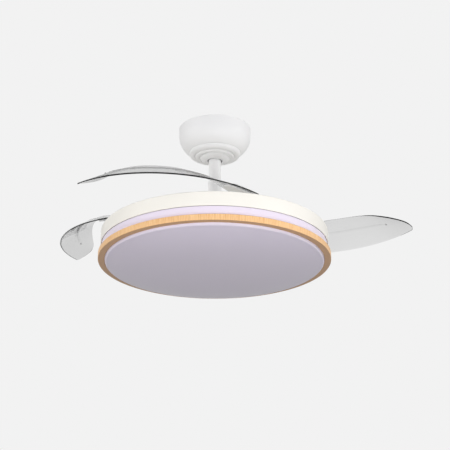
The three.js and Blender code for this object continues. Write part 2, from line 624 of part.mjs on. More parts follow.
/** Three-armed plate with raised pivot bosses and the stop posts of each blade arm. */
function bladeCarrier() {
  const offset = WEB_HALF_WIDTH + STOP_RADIUS + STOP_CLEARANCE;
  const lean = THREE.MathUtils.radToDeg(Math.asin(offset / STOP_DISTANCE));
  const stopAngles = [OPEN_ANGLE + lean, CLOSED_ANGLE - lean];
  const joined = [ring(CARRIER_BORE_RADIUS, CARRIER_HUB_RADIUS, carrierBottom, carrierTop)];
  const cuts = [];
  for (let i = 0; i < BLADE_COUNT; i += 1) {
    const turn = rad(pivotAngle(i));
    const armFrom = CARRIER_HUB_RADIUS - 12;
    const add = (list, geometry) => list.push(geometry.rotateZ(turn));
    const slotMiddle = (CARRIER_HUB_RADIUS + PIVOT_RADIUS - PIVOT_LOBE_RADIUS) / 2;
    add(joined, block([PIVOT_RADIUS - armFrom, CARRIER_ARM_WIDTH, CARRIER_THICKNESS],
      [(PIVOT_RADIUS + armFrom) / 2, 0], carrierBottom));
    const lobe = cylinder(PIVOT_LOBE_RADIUS, carrierBottom, carrierTop, SMALL_SIDES);
    add(joined, lobe.translate(PIVOT_RADIUS, 0, 0));
    add(joined, cylinder(PIVOT_BOSS_RADIUS, carrierBottom, bossTop).translate(PIVOT_RADIUS, 0, 0));
    for (const angle of stopAngles) {
      const x = PIVOT_RADIUS + STOP_DISTANCE * Math.cos(rad(angle));
      const y = STOP_DISTANCE * Math.sin(rad(angle));
      const post = cylinder(STOP_RADIUS, carrierBottom, armFoot + WEB_THICKNESS - 0.5, TINY_SIDES);
      add(joined, post.translate(x, y, 0));
    }
    add(cuts, cylinder(PIN_RADIUS + GAP, carrierBottom - 1, bossTop + 1).translate(PIVOT_RADIUS, 0, 0));
    add(cuts, plate(roundedRectangle(CARRIER_SLOT_LENGTH, CARRIER_SLOT_WIDTH, CARRIER_SLOT_WIDTH / 2 - 0.01),
      carrierBottom - 1, CARRIER_THICKNESS + 2, 5).translate(slotMiddle, 0, 0));
  }
  return shaped(joined, cuts);
}

/** Shouldered pivot pin with a domed head over the arm's eye. */
function pivotPin() {
  const headBottom = eyeTop + GAP;
  return turned([
    [0, carrierBottom], [PIN_RADIUS, carrierBottom], [PIN_RADIUS, headBottom], [PIN_HEAD_RADIUS, headBottom],
    [PIN_HEAD_RADIUS, headBottom + PIN_HEAD_HEIGHT * 0.6],
    [PIN_HEAD_RADIUS * 0.6, headBottom + PIN_HEAD_HEIGHT],
    [0, headBottom + PIN_HEAD_HEIGHT],
  ], SMALL_SIDES);
}

/** Friction washer between the carrier's boss and the arm. */
function pivotWasher() {
  const bottom = bossTop + GAP / 2;
  return ring(PIN_RADIUS + GAP, EYE_RADIUS, bottom, bottom + WASHER_THICKNESS, SMALL_SIDES);
}

/** Plain bush in the arm's eye. */
function pivotBush() {
  const inner = PIN_RADIUS + RUNNING_GAP;
  return ring(inner, inner + BUSH_WALL, armFoot, eyeTop, SMALL_SIDES);
}

// ---------------------------------------------------------------- blade surface
/** A plan arc between two points that bulges towards +Y, as a function from 0 to 1. */
function edgeArc([x0, y0], [x1, y1], radius) {
  const chord = Math.hypot(x1 - x0, y1 - y0);
  const back = Math.sqrt(radius ** 2 - (chord / 2) ** 2);
  const [nx, ny] = [-(y1 - y0) / chord, (x1 - x0) / chord];
  const cx = (x0 + x1) / 2 - nx * back;
  const cy = (y0 + y1) / 2 - ny * back;
  const from = Math.atan2(y0 - cy, x0 - cx);
  const to = Math.atan2(y1 - cy, x1 - cx);
  return (s) => {
    const a = from + (to - from) * s;
    return [cx + radius * Math.cos(a), cy + radius * Math.sin(a)];
  };
}

const outerEdge = edgeArc(OUTER_ROOT, [BLADE_LENGTH, 0], OUTER_EDGE_RADIUS);
const innerEdge = edgeArc(INNER_ROOT, INNER_TIP, INNER_EDGE_RADIUS);

/** Blade pitch in degrees at a lengthwise share, smoothed through the stations. */
function pitchAt(s) {
  const last = PITCH_STATIONS.length - 1;
  const k = Math.min(Math.max(PITCH_STATIONS.findIndex(([place]) => place >= s) - 1, 0), last - 1);
  const [[s0, p0], [s1, p1]] = [PITCH_STATIONS[k], PITCH_STATIONS[k + 1]];
  const slope = (i) => {
    const [a, b] = [PITCH_STATIONS[Math.max(i - 1, 0)], PITCH_STATIONS[Math.min(i + 1, last)]];
    return (b[1] - a[1]) / (b[0] - a[0]);
  };
  const h = s1 - s0;
  const u = (s - s0) / h;
  return (2 * u ** 3 - 3 * u ** 2 + 1) * p0 + (u ** 3 - 2 * u ** 2 + u) * h * slope(k)
    + (3 * u ** 2 - 2 * u ** 3) * p1 + (u ** 3 - u ** 2) * h * slope(k + 1);
}

/** Middle surface of the blade: s runs from root to tip, t from the convex to the concave edge. */
function bladePoint(s, t) {
  const [xo, yo] = outerEdge(s);
  const [xi, yi] = innerEdge(s);
  const chord = Math.hypot(xi - xo, yi - yo);
  const low = bladeRootLevel + TIP_RISE * s ** RISE_POWER;
  const lift = chord * Math.tan(rad(pitchAt(s))) * t;
  const grow = Math.min(s / 0.3, 1);
  return [xo + (xi - xo) * t, yo + (yi - yo) * t, low + lift + CAMBER * grow * 4 * t * (1 - t)];
}

/** Lengthwise reach of the blade, along the middle of its chord. */
function bladeReach() {
  let reach = 0;
  for (let i = 0; i < 20; i += 1) {
    const [a, b] = [bladePoint(i / 20, 0.5), bladePoint((i + 1) / 20, 0.5)];
    reach += Math.hypot(b[0] - a[0], b[1] - a[1]);
  }
  return reach;
}

/** How far a round corner cuts into the chord at a distance from the blade's end. */
function cornerInset(radius, distance) {
  if (distance >= radius) return 0;
  return radius - Math.sqrt(radius ** 2 - (radius - distance) ** 2);
}

/** Solid between two offsets of a patch of the blade surface. */
function patchSolid(stations, chordLimits, shares, bottomAt, topAt) {
  const rows = stations.length;
  const columns = shares.length;
  const top = [];
  const bottom = [];
  for (const s of stations) {
    const [from, to] = chordLimits(s);
    for (const share of shares) {
      const t = from + (to - from) * share;
      const [x, y, z] = bladePoint(s, t);
      top.push(x, y, topAt(z, s, t));
      bottom.push(x, y, bottomAt(z, s, t));
    }
  }
  const count = rows * columns;
  const index = [];
  const quad = (a, b, c, d) => index.push(a, b, c, a, c, d);
  for (let i = 0; i < rows - 1; i += 1) {
    for (let j = 0; j < columns - 1; j += 1) {
      const a = i * columns + j;
      quad(a, a + 1, a + columns + 1, a + columns);
      quad(count + a, count + a + columns, count + a + columns + 1, count + a + 1);
    }
  }
  for (let i = 0; i < rows - 1; i += 1) {
    const a = i * columns;
    const b = a + columns - 1;
    quad(a, a + columns, count + a + columns, count + a);
    quad(b, count + b, count + b + columns, b + columns);
  }
  for (let j = 0; j < columns - 1; j += 1) {
    const b = (rows - 1) * columns + j;
    quad(j, count + j, count + j + 1, j + 1);
    quad(b, b + 1, count + b + 1, count + b);
  }
  const geometry = new THREE.BufferGeometry();
  geometry.setAttribute('position', new THREE.Float32BufferAttribute([...top, ...bottom], 3));
  geometry.setIndex(index);
  return geometry;
}

/** Even stations between two lengthwise shares. */
function evenly(from, to, steps) {
  return Array.from({ length: steps + 1 }, (_, i) => from + ((to - from) * i) / steps);
}

/** Places of the two clamp screws on the blade surface. */
function screwPlaces() {
  return BLADE_SCREW_PLACES.map((s) => bladePoint(s, BLADE_SCREW_CHORD));
}

/** Upright holes for the clamp screws. */
function screwHoles() {
  return screwPlaces().map(([x, y, z]) => cylinder(BLADE_SCREW_RADIUS + GAP, z - 20, z + 20, TINY_SIDES)
    .translate(x, y, 0));
}

/** Clear sickle blade: twisted, cambered, ribbed, with one tight and one wide tip corner. */
function blade() {
  const reach = bladeReach();
  const half = BLADE_THICKNESS / 2;
  const quarter = (corner, steps) => Array.from({ length: steps }, (_, i) => (
    (corner / reach) * (1 - Math.cos(rad((90 * i) / steps)))));
  const stations = [
    ...quarter(ROOT_CORNER, 2), ...evenly(ROOT_CORNER / reach, 1 - INNER_TIP_CORNER / reach, 14),
    ...quarter(INNER_TIP_CORNER, 6).reverse().map((d) => 1 - d),
  ];
  const limits = (s) => {
    const [xo, yo] = outerEdge(s);
    const [xi, yi] = innerEdge(s);
    const chord = Math.hypot(xi - xo, yi - yo);
    const fromRoot = s * reach;
    const fromTip = (1 - s) * reach;
    return [
      Math.max(cornerInset(ROOT_CORNER, fromRoot), cornerInset(OUTER_TIP_CORNER, fromTip)) / chord,
      1 - Math.max(cornerInset(ROOT_CORNER, fromRoot), cornerInset(INNER_TIP_CORNER, fromTip)) / chord,
    ];
  };
  const rib = (s, t) => {
    const across = Math.max(1 - Math.abs(t - RIB_CHORD) / RIB_HALF_WIDTH, 0);
    const outward = THREE.MathUtils.clamp((RIB_END - s) / RIB_RUN_OUT, 0, 1);
    const along = outward * THREE.MathUtils.clamp((s - RIB_START) / RIB_RUN_OUT, 0, 1);
    return RIB_HEIGHT * across * along;
  };
  const shares = [0, 0.25, RIB_CHORD - RIB_HALF_WIDTH, RIB_CHORD, RIB_CHORD + RIB_HALF_WIDTH, 0.8, 1];
  const sheet = patchSolid(stations, limits, shares, (z) => z - half, (z, s, t) => z + half + rib(s, t));
  return shaped([sheet], screwHoles());
}

/** Cast arm: pivot eye, flat web and a pad that follows the blade's underside. */
function bladeArm() {
  const padTop = -BLADE_THICKNESS / 2 - GAP;
  const even = [0, 0.35, 0.7, 1];
  const pad = patchSolid(evenly(...PAD_SPAN, 6), () => PAD_CHORD, even,
    (z) => z + padTop - PAD_THICKNESS, (z) => z + padTop);
  const foot = patchSolid(evenly(...FOOT_SPAN, 4), () => FOOT_CHORD, [0, 0.5, 1],
    () => armFoot, (z) => z + padTop - PAD_THICKNESS / 2);
  const eye = cylinder(EYE_RADIUS, armFoot, eyeTop);
  const web = block([WEB_LENGTH, 2 * WEB_HALF_WIDTH, WEB_THICKNESS], [WEB_LENGTH / 2, 0], armFoot);
  const bore = cylinder(PIN_RADIUS + RUNNING_GAP + BUSH_WALL + RUNNING_GAP, armFoot - 1, eyeTop + 1);
  return shaped([pad, foot, eye, web], [bore, ...screwHoles()]);
}

/** White clamp plate that follows the blade's upper side. */
function bladeClamp() {
  const bottom = BLADE_THICKNESS / 2 + CLAMP_CLEARANCE;
  const reach = bladeReach();
  const [from, to] = CLAMP_SPAN;
  const limits = (s) => {
    const distance = Math.min(s - from, to - s) * reach;
    const inset = cornerInset(CLAMP_CORNER, Math.max(distance, 0)) / CLAMP_WIDTH;
    return [CLAMP_CHORD[0] + inset, CLAMP_CHORD[1] - inset];
  };
  const body = patchSolid(evenly(from, to, 8), limits, [0, 0.12, 0.5, 0.88, 1],
    (z) => z + bottom, (z, s, t) => {
      const edge = Math.min(t - CLAMP_CHORD[0], CLAMP_CHORD[1] - t, s - from + 0.06, to - s + 0.06);
      return z + bottom + CLAMP_THICKNESS * Math.min(0.7 + edge * 4, 1);
    });
  const seats = screwPlaces().map(([x, y, z]) => cylinder(BLADE_SCREW_HEAD_RADIUS + GAP,
    z + screwHeadRise() - GAP, z + 20, TINY_SIDES).translate(x, y, 0));
  return shaped([body], [...screwHoles(), ...seats]);
}

/** Underside of a clamp screw's head above the blade's middle surface. */
function screwHeadRise() {
  return BLADE_THICKNESS / 2 + CLAMP_CLEARANCE + CLAMP_THICKNESS - 1.4;
}

/** Screw through clamp, blade and arm, with a domed head. */
function bladeScrew([x, y, z]) {
  const headBottom = z + screwHeadRise();
  const bottom = z - BLADE_THICKNESS / 2 - GAP - PAD_THICKNESS;
  return turned([
    [0, bottom], [BLADE_SCREW_RADIUS, bottom], [BLADE_SCREW_RADIUS, headBottom],
    [BLADE_SCREW_HEAD_RADIUS, headBottom],
    [BLADE_SCREW_HEAD_RADIUS, headBottom + BLADE_SCREW_HEAD_HEIGHT * 0.4],
    [BLADE_SCREW_HEAD_RADIUS * 0.6, headBottom + BLADE_SCREW_HEAD_HEIGHT],
    [0, headBottom + BLADE_SCREW_HEAD_HEIGHT],
  ], TINY_SIDES).translate(x, y, 0);
}

// ---------------------------------------------------------------- lamp
/** Round spun tray that forms the white drum. */
function lampTray() {
  const bore = SHAFT_RADIUS + GAP;
  const inside = trayRadius - TRAY_WALL;
  return turned([
    [bore, trayTop],
    ...arc(trayRadius - TRAY_CORNER, trayTop - TRAY_CORNER, TRAY_CORNER, 90, 0, CURVE_STEPS - 1),
    [trayRadius, trayBottom], [inside, trayBottom], [inside, trayTop - TRAY_TOP - 1],
    [inside - 1, trayTop - TRAY_TOP], [bore, trayTop - TRAY_TOP],
  ], LAMP_SIDES);
}

/** Opal side band with a rebate along its top. */
function lightBand() {
  const [rebate, height] = BAND_REBATE;
  const inner = bandRadius - BAND_WALL;
  return turned([
    [inner, bandBottom], [bandRadius, bandBottom], [bandRadius, bandTop - height],
    [bandRadius - rebate, bandTop - height], [bandRadius - rebate, bandTop], [inner, bandTop],
  ], LAMP_SIDES);
}

/** Turned wooden ring with eased outer edges. */
function woodRing() {
  const e = WOOD_EDGE;
  return turned([
    [woodInnerRadius, woodBottom], ...arc(WOOD_RADIUS - e, woodBottom + e, e, -90, 0, 2),
    ...arc(WOOD_RADIUS - e, woodTop - e, e, 0, 90, 2), [woodInnerRadius, woodTop],
  ], LAMP_SIDES);
}

/** Outer profile of the diffuser, drawn in by an inset, from its upper rim to the axis. */
function diffuserProfile(inset) {
  const rim = woodInnerRadius - GAP - inset;
  const shoulder = Array.from({ length: CURVE_STEPS }, (_, i) => {
    const a = rad((90 * i) / (CURVE_STEPS - 1));
    return [
      rim - (DIFFUSER_SHOULDER_WIDTH - inset) * (1 - Math.cos(a)),
      woodBottom + 1 - (DIFFUSER_SHOULDER_DROP + 1 - inset) * Math.sin(a),
    ];
  });
  const [edge, level] = shoulder.at(-1);
  const dome = Array.from({ length: CURVE_STEPS }, (_, i) => {
    const r = edge * (1 - (i + 1) / CURVE_STEPS);
    return [r, level - DIFFUSER_DOME_DROP * (1 - (r / edge) ** 2)];
  });
  return [[rim, woodBottom + DIFFUSER_FLANGE], ...shoulder, ...dome];
}

/** Shallow domed diffuser with a rounded shoulder and an upright flange. */
function diffuser() {
  return turned([...diffuserProfile(0), ...diffuserProfile(DIFFUSER_WALL).reverse()], LAMP_SIDES);
}

/** Rounded electronics box standing on the base plate, with two fixing lugs. */
function electronicsBox([x, y, z], [cx, cy]) {
  const bottom = basePlateBottom + BASE_PLATE_THICKNESS + GAP;
  const lug = [-1, 1].map((side) => block([16, 18, 2], [(side * (x + 10)) / 2, 0], bottom));
  const holes = [-1, 1].map((side) => cylinder(2.2, bottom - 1, bottom + 4, TINY_SIDES)
    .translate((side * (x + 10)) / 2 + side * 2, 0, 0));
  const box = plate(roundedRectangle(x, y, BOX_CORNER), bottom, z, 4);
  return shaped([box, ...lug], holes).translate(cx, cy, 0);
}

// ---------------------------------------------------------------- finishes
/** A standard material from colour, roughness and metalness. */
function finish(color, roughness, metalness = 0, opacity = 1) {
  return new THREE.MeshStandardMaterial({ color, roughness, metalness, opacity, transparent: opacity < 1 });
}

const whitePaint = () => finish(0xf6f4ef, 0.5);
const zinc = () => finish(0xb9bcc0, 0.4, 0.9);
const steel = () => finish(0xa7abb0, 0.35, 0.95);
const clearAcrylic = () => finish(0xdfe2e4, 0.05, 0, 0.35);
const opalAcrylic = () => finish(0xe6e3f2, 0.35);
const oak = () => finish(0xe0b27c, 0.55);
const whitePlastic = () => finish(0xf2f2f0, 0.45);
const greyPlastic = () => finish(0x8d9092, 0.6);
const copper = () => finish(0xb8703a, 0.4, 0.8);
const aluminium = () => finish(0xc9ccd0, 0.4, 0.9);
const magnet = () => finish(0x3c3d40, 0.6, 0.3);
const nylon = () => finish(0xe9e6dc, 0.55);
const green = () => finish(0xe8ece9, 0.5);

// ---------------------------------------------------------------- assembly
const fan = new THREE.Group();
const ceilingGroup = new THREE.Group();
const hangingGroup = new THREE.Group();
const rotorGroup = new THREE.Group();
fan.add(ceilingGroup, hangingGroup, rotorGroup);

/** Adds one named piece to a group. */
function piece(group, name, geometry, material) {
  const mesh = new THREE.Mesh(toGeometry(toSolid(geometry)), material);
  mesh.name = name;
  group.add(mesh);
  return mesh;
}

piece(ceilingGroup, 'ceiling_bracket', ceilingBracket(), zinc());
piece(ceilingGroup, 'canopy_shell', canopyShell(), whitePaint());
piece(ceilingGroup, 'canopy_trim_ring', canopyTrimRing(), whitePaint());
piece(ceilingGroup, 'ball_cover', ballCover(), whitePaint());
piece(ceilingGroup, 'receiver', receiver(), whitePlastic());
piece(ceilingGroup, 'terminal_block', terminalBlock(), nylon());
[-1, 1].forEach((side, i) => {
  const screw = piece(ceilingGroup, `canopy_screw_${i + 1}`, canopyScrew(), steel());
  screw.position.x = (side * SCREW_SPACING) / 2;
});

piece(hangingGroup, 'hanger_ball', hangerBall(), greyPlastic());
piece(hangingGroup, 'ball_pin', crossPin(BALL_PIN_RADIUS, BALL_PIN_LENGTH, ballLevel), steel());
piece(hangingGroup, 'downrod', downrod(), whitePaint());
piece(hangingGroup, 'yoke_collar', yokeCollar(), whitePaint());
piece(hangingGroup, 'yoke_pin',
  crossPin(YOKE_PIN_RADIUS, YOKE_PIN_LENGTH, collarFoot + YOKE_PIN_RISE), steel());
piece(hangingGroup, 'shaft_top_nut',
  hexNut(TOP_NUT_RADIUS, SHAFT_RADIUS + RUNNING_GAP, collarFoot + COLLAR_FLOOR + GAP, TOP_NUT_HEIGHT),
  steel());
piece(hangingGroup, 'motor_shaft', motorShaft(), steel());
piece(hangingGroup, 'stator_core', statorCore(), steel());
piece(hangingGroup, 'stator_winding', statorWinding(), copper());
piece(hangingGroup, 'upper_bearing', bearing(motorTop - MOTOR_WALL - BEARING_HEIGHT), steel());
piece(hangingGroup, 'lower_bearing', bearing(motorBottom + MOTOR_WALL + GAP), steel());
piece(hangingGroup, 'lamp_plate',
  ring(SHAFT_RADIUS + GAP, LAMP_PLATE_RADIUS, lampPlateBottom, lampPlateTop), zinc());
piece(hangingGroup, 'lamp_nut',
  hexNut(LAMP_NUT_RADIUS, SHAFT_RADIUS + RUNNING_GAP, trayTop - TRAY_TOP - GAP - LAMP_NUT_HEIGHT,
    LAMP_NUT_HEIGHT), steel());
piece(hangingGroup, 'lamp_tray', lampTray(), whitePaint());
piece(hangingGroup, 'base_plate', ring(SHAFT_RADIUS + GAP, trayRadius - TRAY_WALL - GAP, basePlateBottom,
  basePlateBottom + BASE_PLATE_THICKNESS, LAMP_SIDES), zinc());
piece(hangingGroup, 'led_driver', electronicsBox(DRIVER_SIZE, DRIVER_PLACE), whitePlastic());
piece(hangingGroup, 'motor_controller', electronicsBox(CONTROLLER_SIZE, CONTROLLER_PLACE), whitePlastic());
piece(hangingGroup, 'led_board',
  ring(LED_BOARD_HOLE, LED_BOARD_RADIUS, basePlateBottom - GAP - LED_BOARD_THICKNESS,
    basePlateBottom - GAP, MEDIUM_SIDES), green());
piece(hangingGroup, 'light_band', lightBand(), opalAcrylic());
piece(hangingGroup, 'wood_ring', woodRing(), oak());
piece(hangingGroup, 'diffuser', diffuser(), opalAcrylic());

piece(rotorGroup, 'motor_upper_cover', motorUpperCover(), whitePaint());
piece(rotorGroup, 'motor_lower_cover', motorLowerCover(), aluminium());
piece(rotorGroup, 'magnet_ring', ring(statorRadius() + AIR_GAP, MOTOR_RADIUS - MOTOR_WALL - GAP,
  motorMiddle - MAGNET_HEIGHT / 2, motorMiddle + MAGNET_HEIGHT / 2), magnet());
piece(rotorGroup, 'blade_carrier', bladeCarrier(), aluminium());

for (let i = 0; i < BLADE_COUNT; i += 1) {
  const number = i + 1;
  const outward = rad(pivotAngle(i));
  const direction = outward + rad(OPEN_ANGLE + REST_FOLD[i]);
  const place = [PIVOT_RADIUS * Math.cos(outward), PIVOT_RADIUS * Math.sin(outward), 0];
  const pinGroup = new THREE.Group();
  pinGroup.position.set(...place);
  rotorGroup.add(pinGroup);
  piece(pinGroup, `pivot_pin_${number}`, pivotPin(), steel());
  piece(pinGroup, `pivot_washer_${number}`, pivotWasher(), nylon());

  const bladeGroup = new THREE.Group();
  bladeGroup.position.set(...place);
  bladeGroup.rotation.z = direction;
  fan.add(bladeGroup);
  piece(bladeGroup, `blade_${number}`, blade(), clearAcrylic());
  piece(bladeGroup, `blade_arm_${number}`, bladeArm(), whitePaint());
  piece(bladeGroup, `blade_clamp_${number}`, bladeClamp(), whitePlastic());
  piece(bladeGroup, `pivot_bush_${number}`, pivotBush(), nylon());
  screwPlaces().forEach((spot, k) => {
    piece(bladeGroup, `blade_screw_${number}${'ab'[k]}`, bladeScrew(spot), whitePlastic());
  });
}

export default fan;
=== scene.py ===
"""Looks of a retractable blade ceiling fan: turned housings, clear sickle blades and a wooden lamp ring."""

import json
import logging
import math
from dataclasses import dataclass, field
from enum import Enum
from typing import Optional, Sequence

import bmesh
import bpy
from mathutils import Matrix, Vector


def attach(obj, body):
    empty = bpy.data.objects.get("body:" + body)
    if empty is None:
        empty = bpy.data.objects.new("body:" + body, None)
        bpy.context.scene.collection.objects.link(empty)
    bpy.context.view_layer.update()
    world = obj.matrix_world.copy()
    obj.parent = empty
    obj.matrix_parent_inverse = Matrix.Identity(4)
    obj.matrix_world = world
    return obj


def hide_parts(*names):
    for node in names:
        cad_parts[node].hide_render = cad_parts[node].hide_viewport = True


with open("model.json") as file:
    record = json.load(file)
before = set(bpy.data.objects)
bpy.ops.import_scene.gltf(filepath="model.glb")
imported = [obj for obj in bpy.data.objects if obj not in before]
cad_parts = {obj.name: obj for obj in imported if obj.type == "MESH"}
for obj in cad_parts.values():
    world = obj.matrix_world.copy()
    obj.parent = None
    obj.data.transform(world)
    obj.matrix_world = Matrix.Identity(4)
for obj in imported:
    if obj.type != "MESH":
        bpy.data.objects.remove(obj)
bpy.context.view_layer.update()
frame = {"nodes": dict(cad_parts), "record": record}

LOG = logging.getLogger("ceiling_fan")
MM = 0.001
TINY = 1e-6
SHARP_DEGREES = 38.0
STRAIGHT_DEGREES = 155.0
CORNER_SHARE = 0.45
MERGE_METRES = 2e-6
FLAT_DEGREES = 1.5
BEVEL_DEGREES = 40.0

Colour = tuple[float, float, float]
Profile = list[tuple[float, float]]
Point = tuple[float, float, float]
Pair = tuple[float, float]
Socket = bpy.types.NodeSocket
Piece = bpy.types.Object
Material = bpy.types.Material


class Body(str, Enum):
    """CAD bodies that a piece can ride on."""

    CEILING = "ceiling"
    HANGING = "hanging"
    ROTOR = "rotor"
    BLADE_1 = "blade_assembly_1"
    BLADE_2 = "blade_assembly_2"
    BLADE_3 = "blade_assembly_3"


class Slot(str, Enum):
    """Material slots of the record."""

    WHITE_PAINT = "white_paint"
    WHITE_PLASTIC = "white_plastic"
    GREY_PLASTIC = "grey_plastic"
    NYLON = "nylon"
    CLEAR_ACRYLIC = "clear_acrylic"
    OPAL_ACRYLIC = "opal_acrylic"
    LIGHT_WOOD = "light_wood"
    STEEL = "steel"
    ZINC_STEEL = "zinc_steel"
    CORE_STEEL = "core_steel"
    COPPER = "copper"
    ALUMINIUM = "aluminium"
    MAGNET = "magnet"
    BOARD = "board"


class Special(str, Enum):
    """Finishes that differ from their slot's plain one."""

    COOL_PAINT = "cool_white_paint"


class Axis(Enum):
    """Direction that brushing or grain runs along."""

    UPRIGHT = "upright"
    ROUND = "round"
    ALONG_X = "along_x"


def linear(red: int, green: int, blue: int) -> Colour:
    """Turns an 8-bit screen colour into the linear colour that a shader takes.

    Args:
        red: Red from 0 to 255.
        green: Green from 0 to 255.
        blue: Blue from 0 to 255.

    Returns:
        The colour in linear light.
    """
    out = []  # by the sRGB transfer curve
    for channel in (red, green, blue):
        c = channel / 255
        out.append(c / 12.92 if c <= 0.04045 else ((c + 0.055) / 1.055) ** 2.4)
    return (out[0], out[1], out[2])


def scaled(colour: Colour, factor: float) -> Colour:
    """Returns the colour made lighter or darker by a factor."""
    return (colour[0] * factor, colour[1] * factor, colour[2] * factor)


# Shader graphs


class NodeGraph:
    """A node tree with short calls for adding and joining nodes."""

    def __init__(self, tree: bpy.types.NodeTree) -> None:
        """Keeps the tree that the calls add to."""
        self.tree = tree

    def node(self, kind: str, **values: object) -> bpy.types.Node:
        """Adds a node and sets its sockets and properties.

        Args:
            kind: Blender's name of the node type.
            **values: Values of sockets, with underscores for spaces, or of properties.

        Returns:
            The new node.
        """
        made = self.tree.nodes.new(kind)
        for key, value in values.items():
            socket = key.replace("_", " ")
            if socket in made.inputs:
                made.inputs[socket].default_value = value
            else:
                setattr(made, key, value)
        return made

    def link(self, source: Socket, target: Socket) -> None:
        """Joins two sockets."""
        self.tree.links.new(source, target)

    def spread(self, value: Socket, low: float, high: float,
               start: float = 0.0, end: float = 1.0) -> Socket:
        """Maps a value from one range to another.

        Args:
            value: The value.
            low: Result at the start.
            high: Result at the end.
            start: Start of the value's range.
            end: End of the value's range.

        Returns:
            The mapped value.
        """
        made = self.node("ShaderNodeMapRange", From_Min=start, From_Max=end, To_Min=low, To_Max=high)
        self.link(value, made.inputs["Value"])
        return made.outputs["Result"]

    def blended(self, factor: Socket | float, first: bpy.types.Node,
                second: bpy.types.Node) -> bpy.types.Node:
        """Blends the results of two shader nodes.

        Args:
            factor: Share of the second, as a number or a socket.
            first: The first shader.
            second: The second shader.

        Returns:
            The blending node.
        """
        mix = self.node("ShaderNodeMixShader")
        if isinstance(factor, float):
            mix.inputs[0].default_value = factor
        else:
            self.link(factor, mix.inputs[0])
        self.link(first.outputs[0], mix.inputs[1])
        self.link(second.outputs[0], mix.inputs[2])
        return mix

    def seen_rays(self) -> Socket:
        """Returns 1 for camera, glossy and transmission rays and 0 for the rest."""
        path = self.node("ShaderNodeLightPath")
        seen = path.outputs["Is Camera Ray"]
        for kind in ("Is Glossy Ray", "Is Transmission Ray"):
            either = self.node("ShaderNodeMath", operation="MAXIMUM")
            self.link(seen, either.inputs[0])
            self.link(path.outputs[kind], either.inputs[1])
            seen = either.outputs[0]
        return seen


@dataclass(frozen=True)
class Variation:
    """Noise that drives a value: its scale, its detail and the range that it gives."""

    scale: float
    detail: float
    low: float
    high: float


@dataclass(frozen=True)
class Relief:
    """Noise that raises a surface: its scale, detail, strength and height in metres."""

    scale: float
    detail: float
    strength: float
    height: float


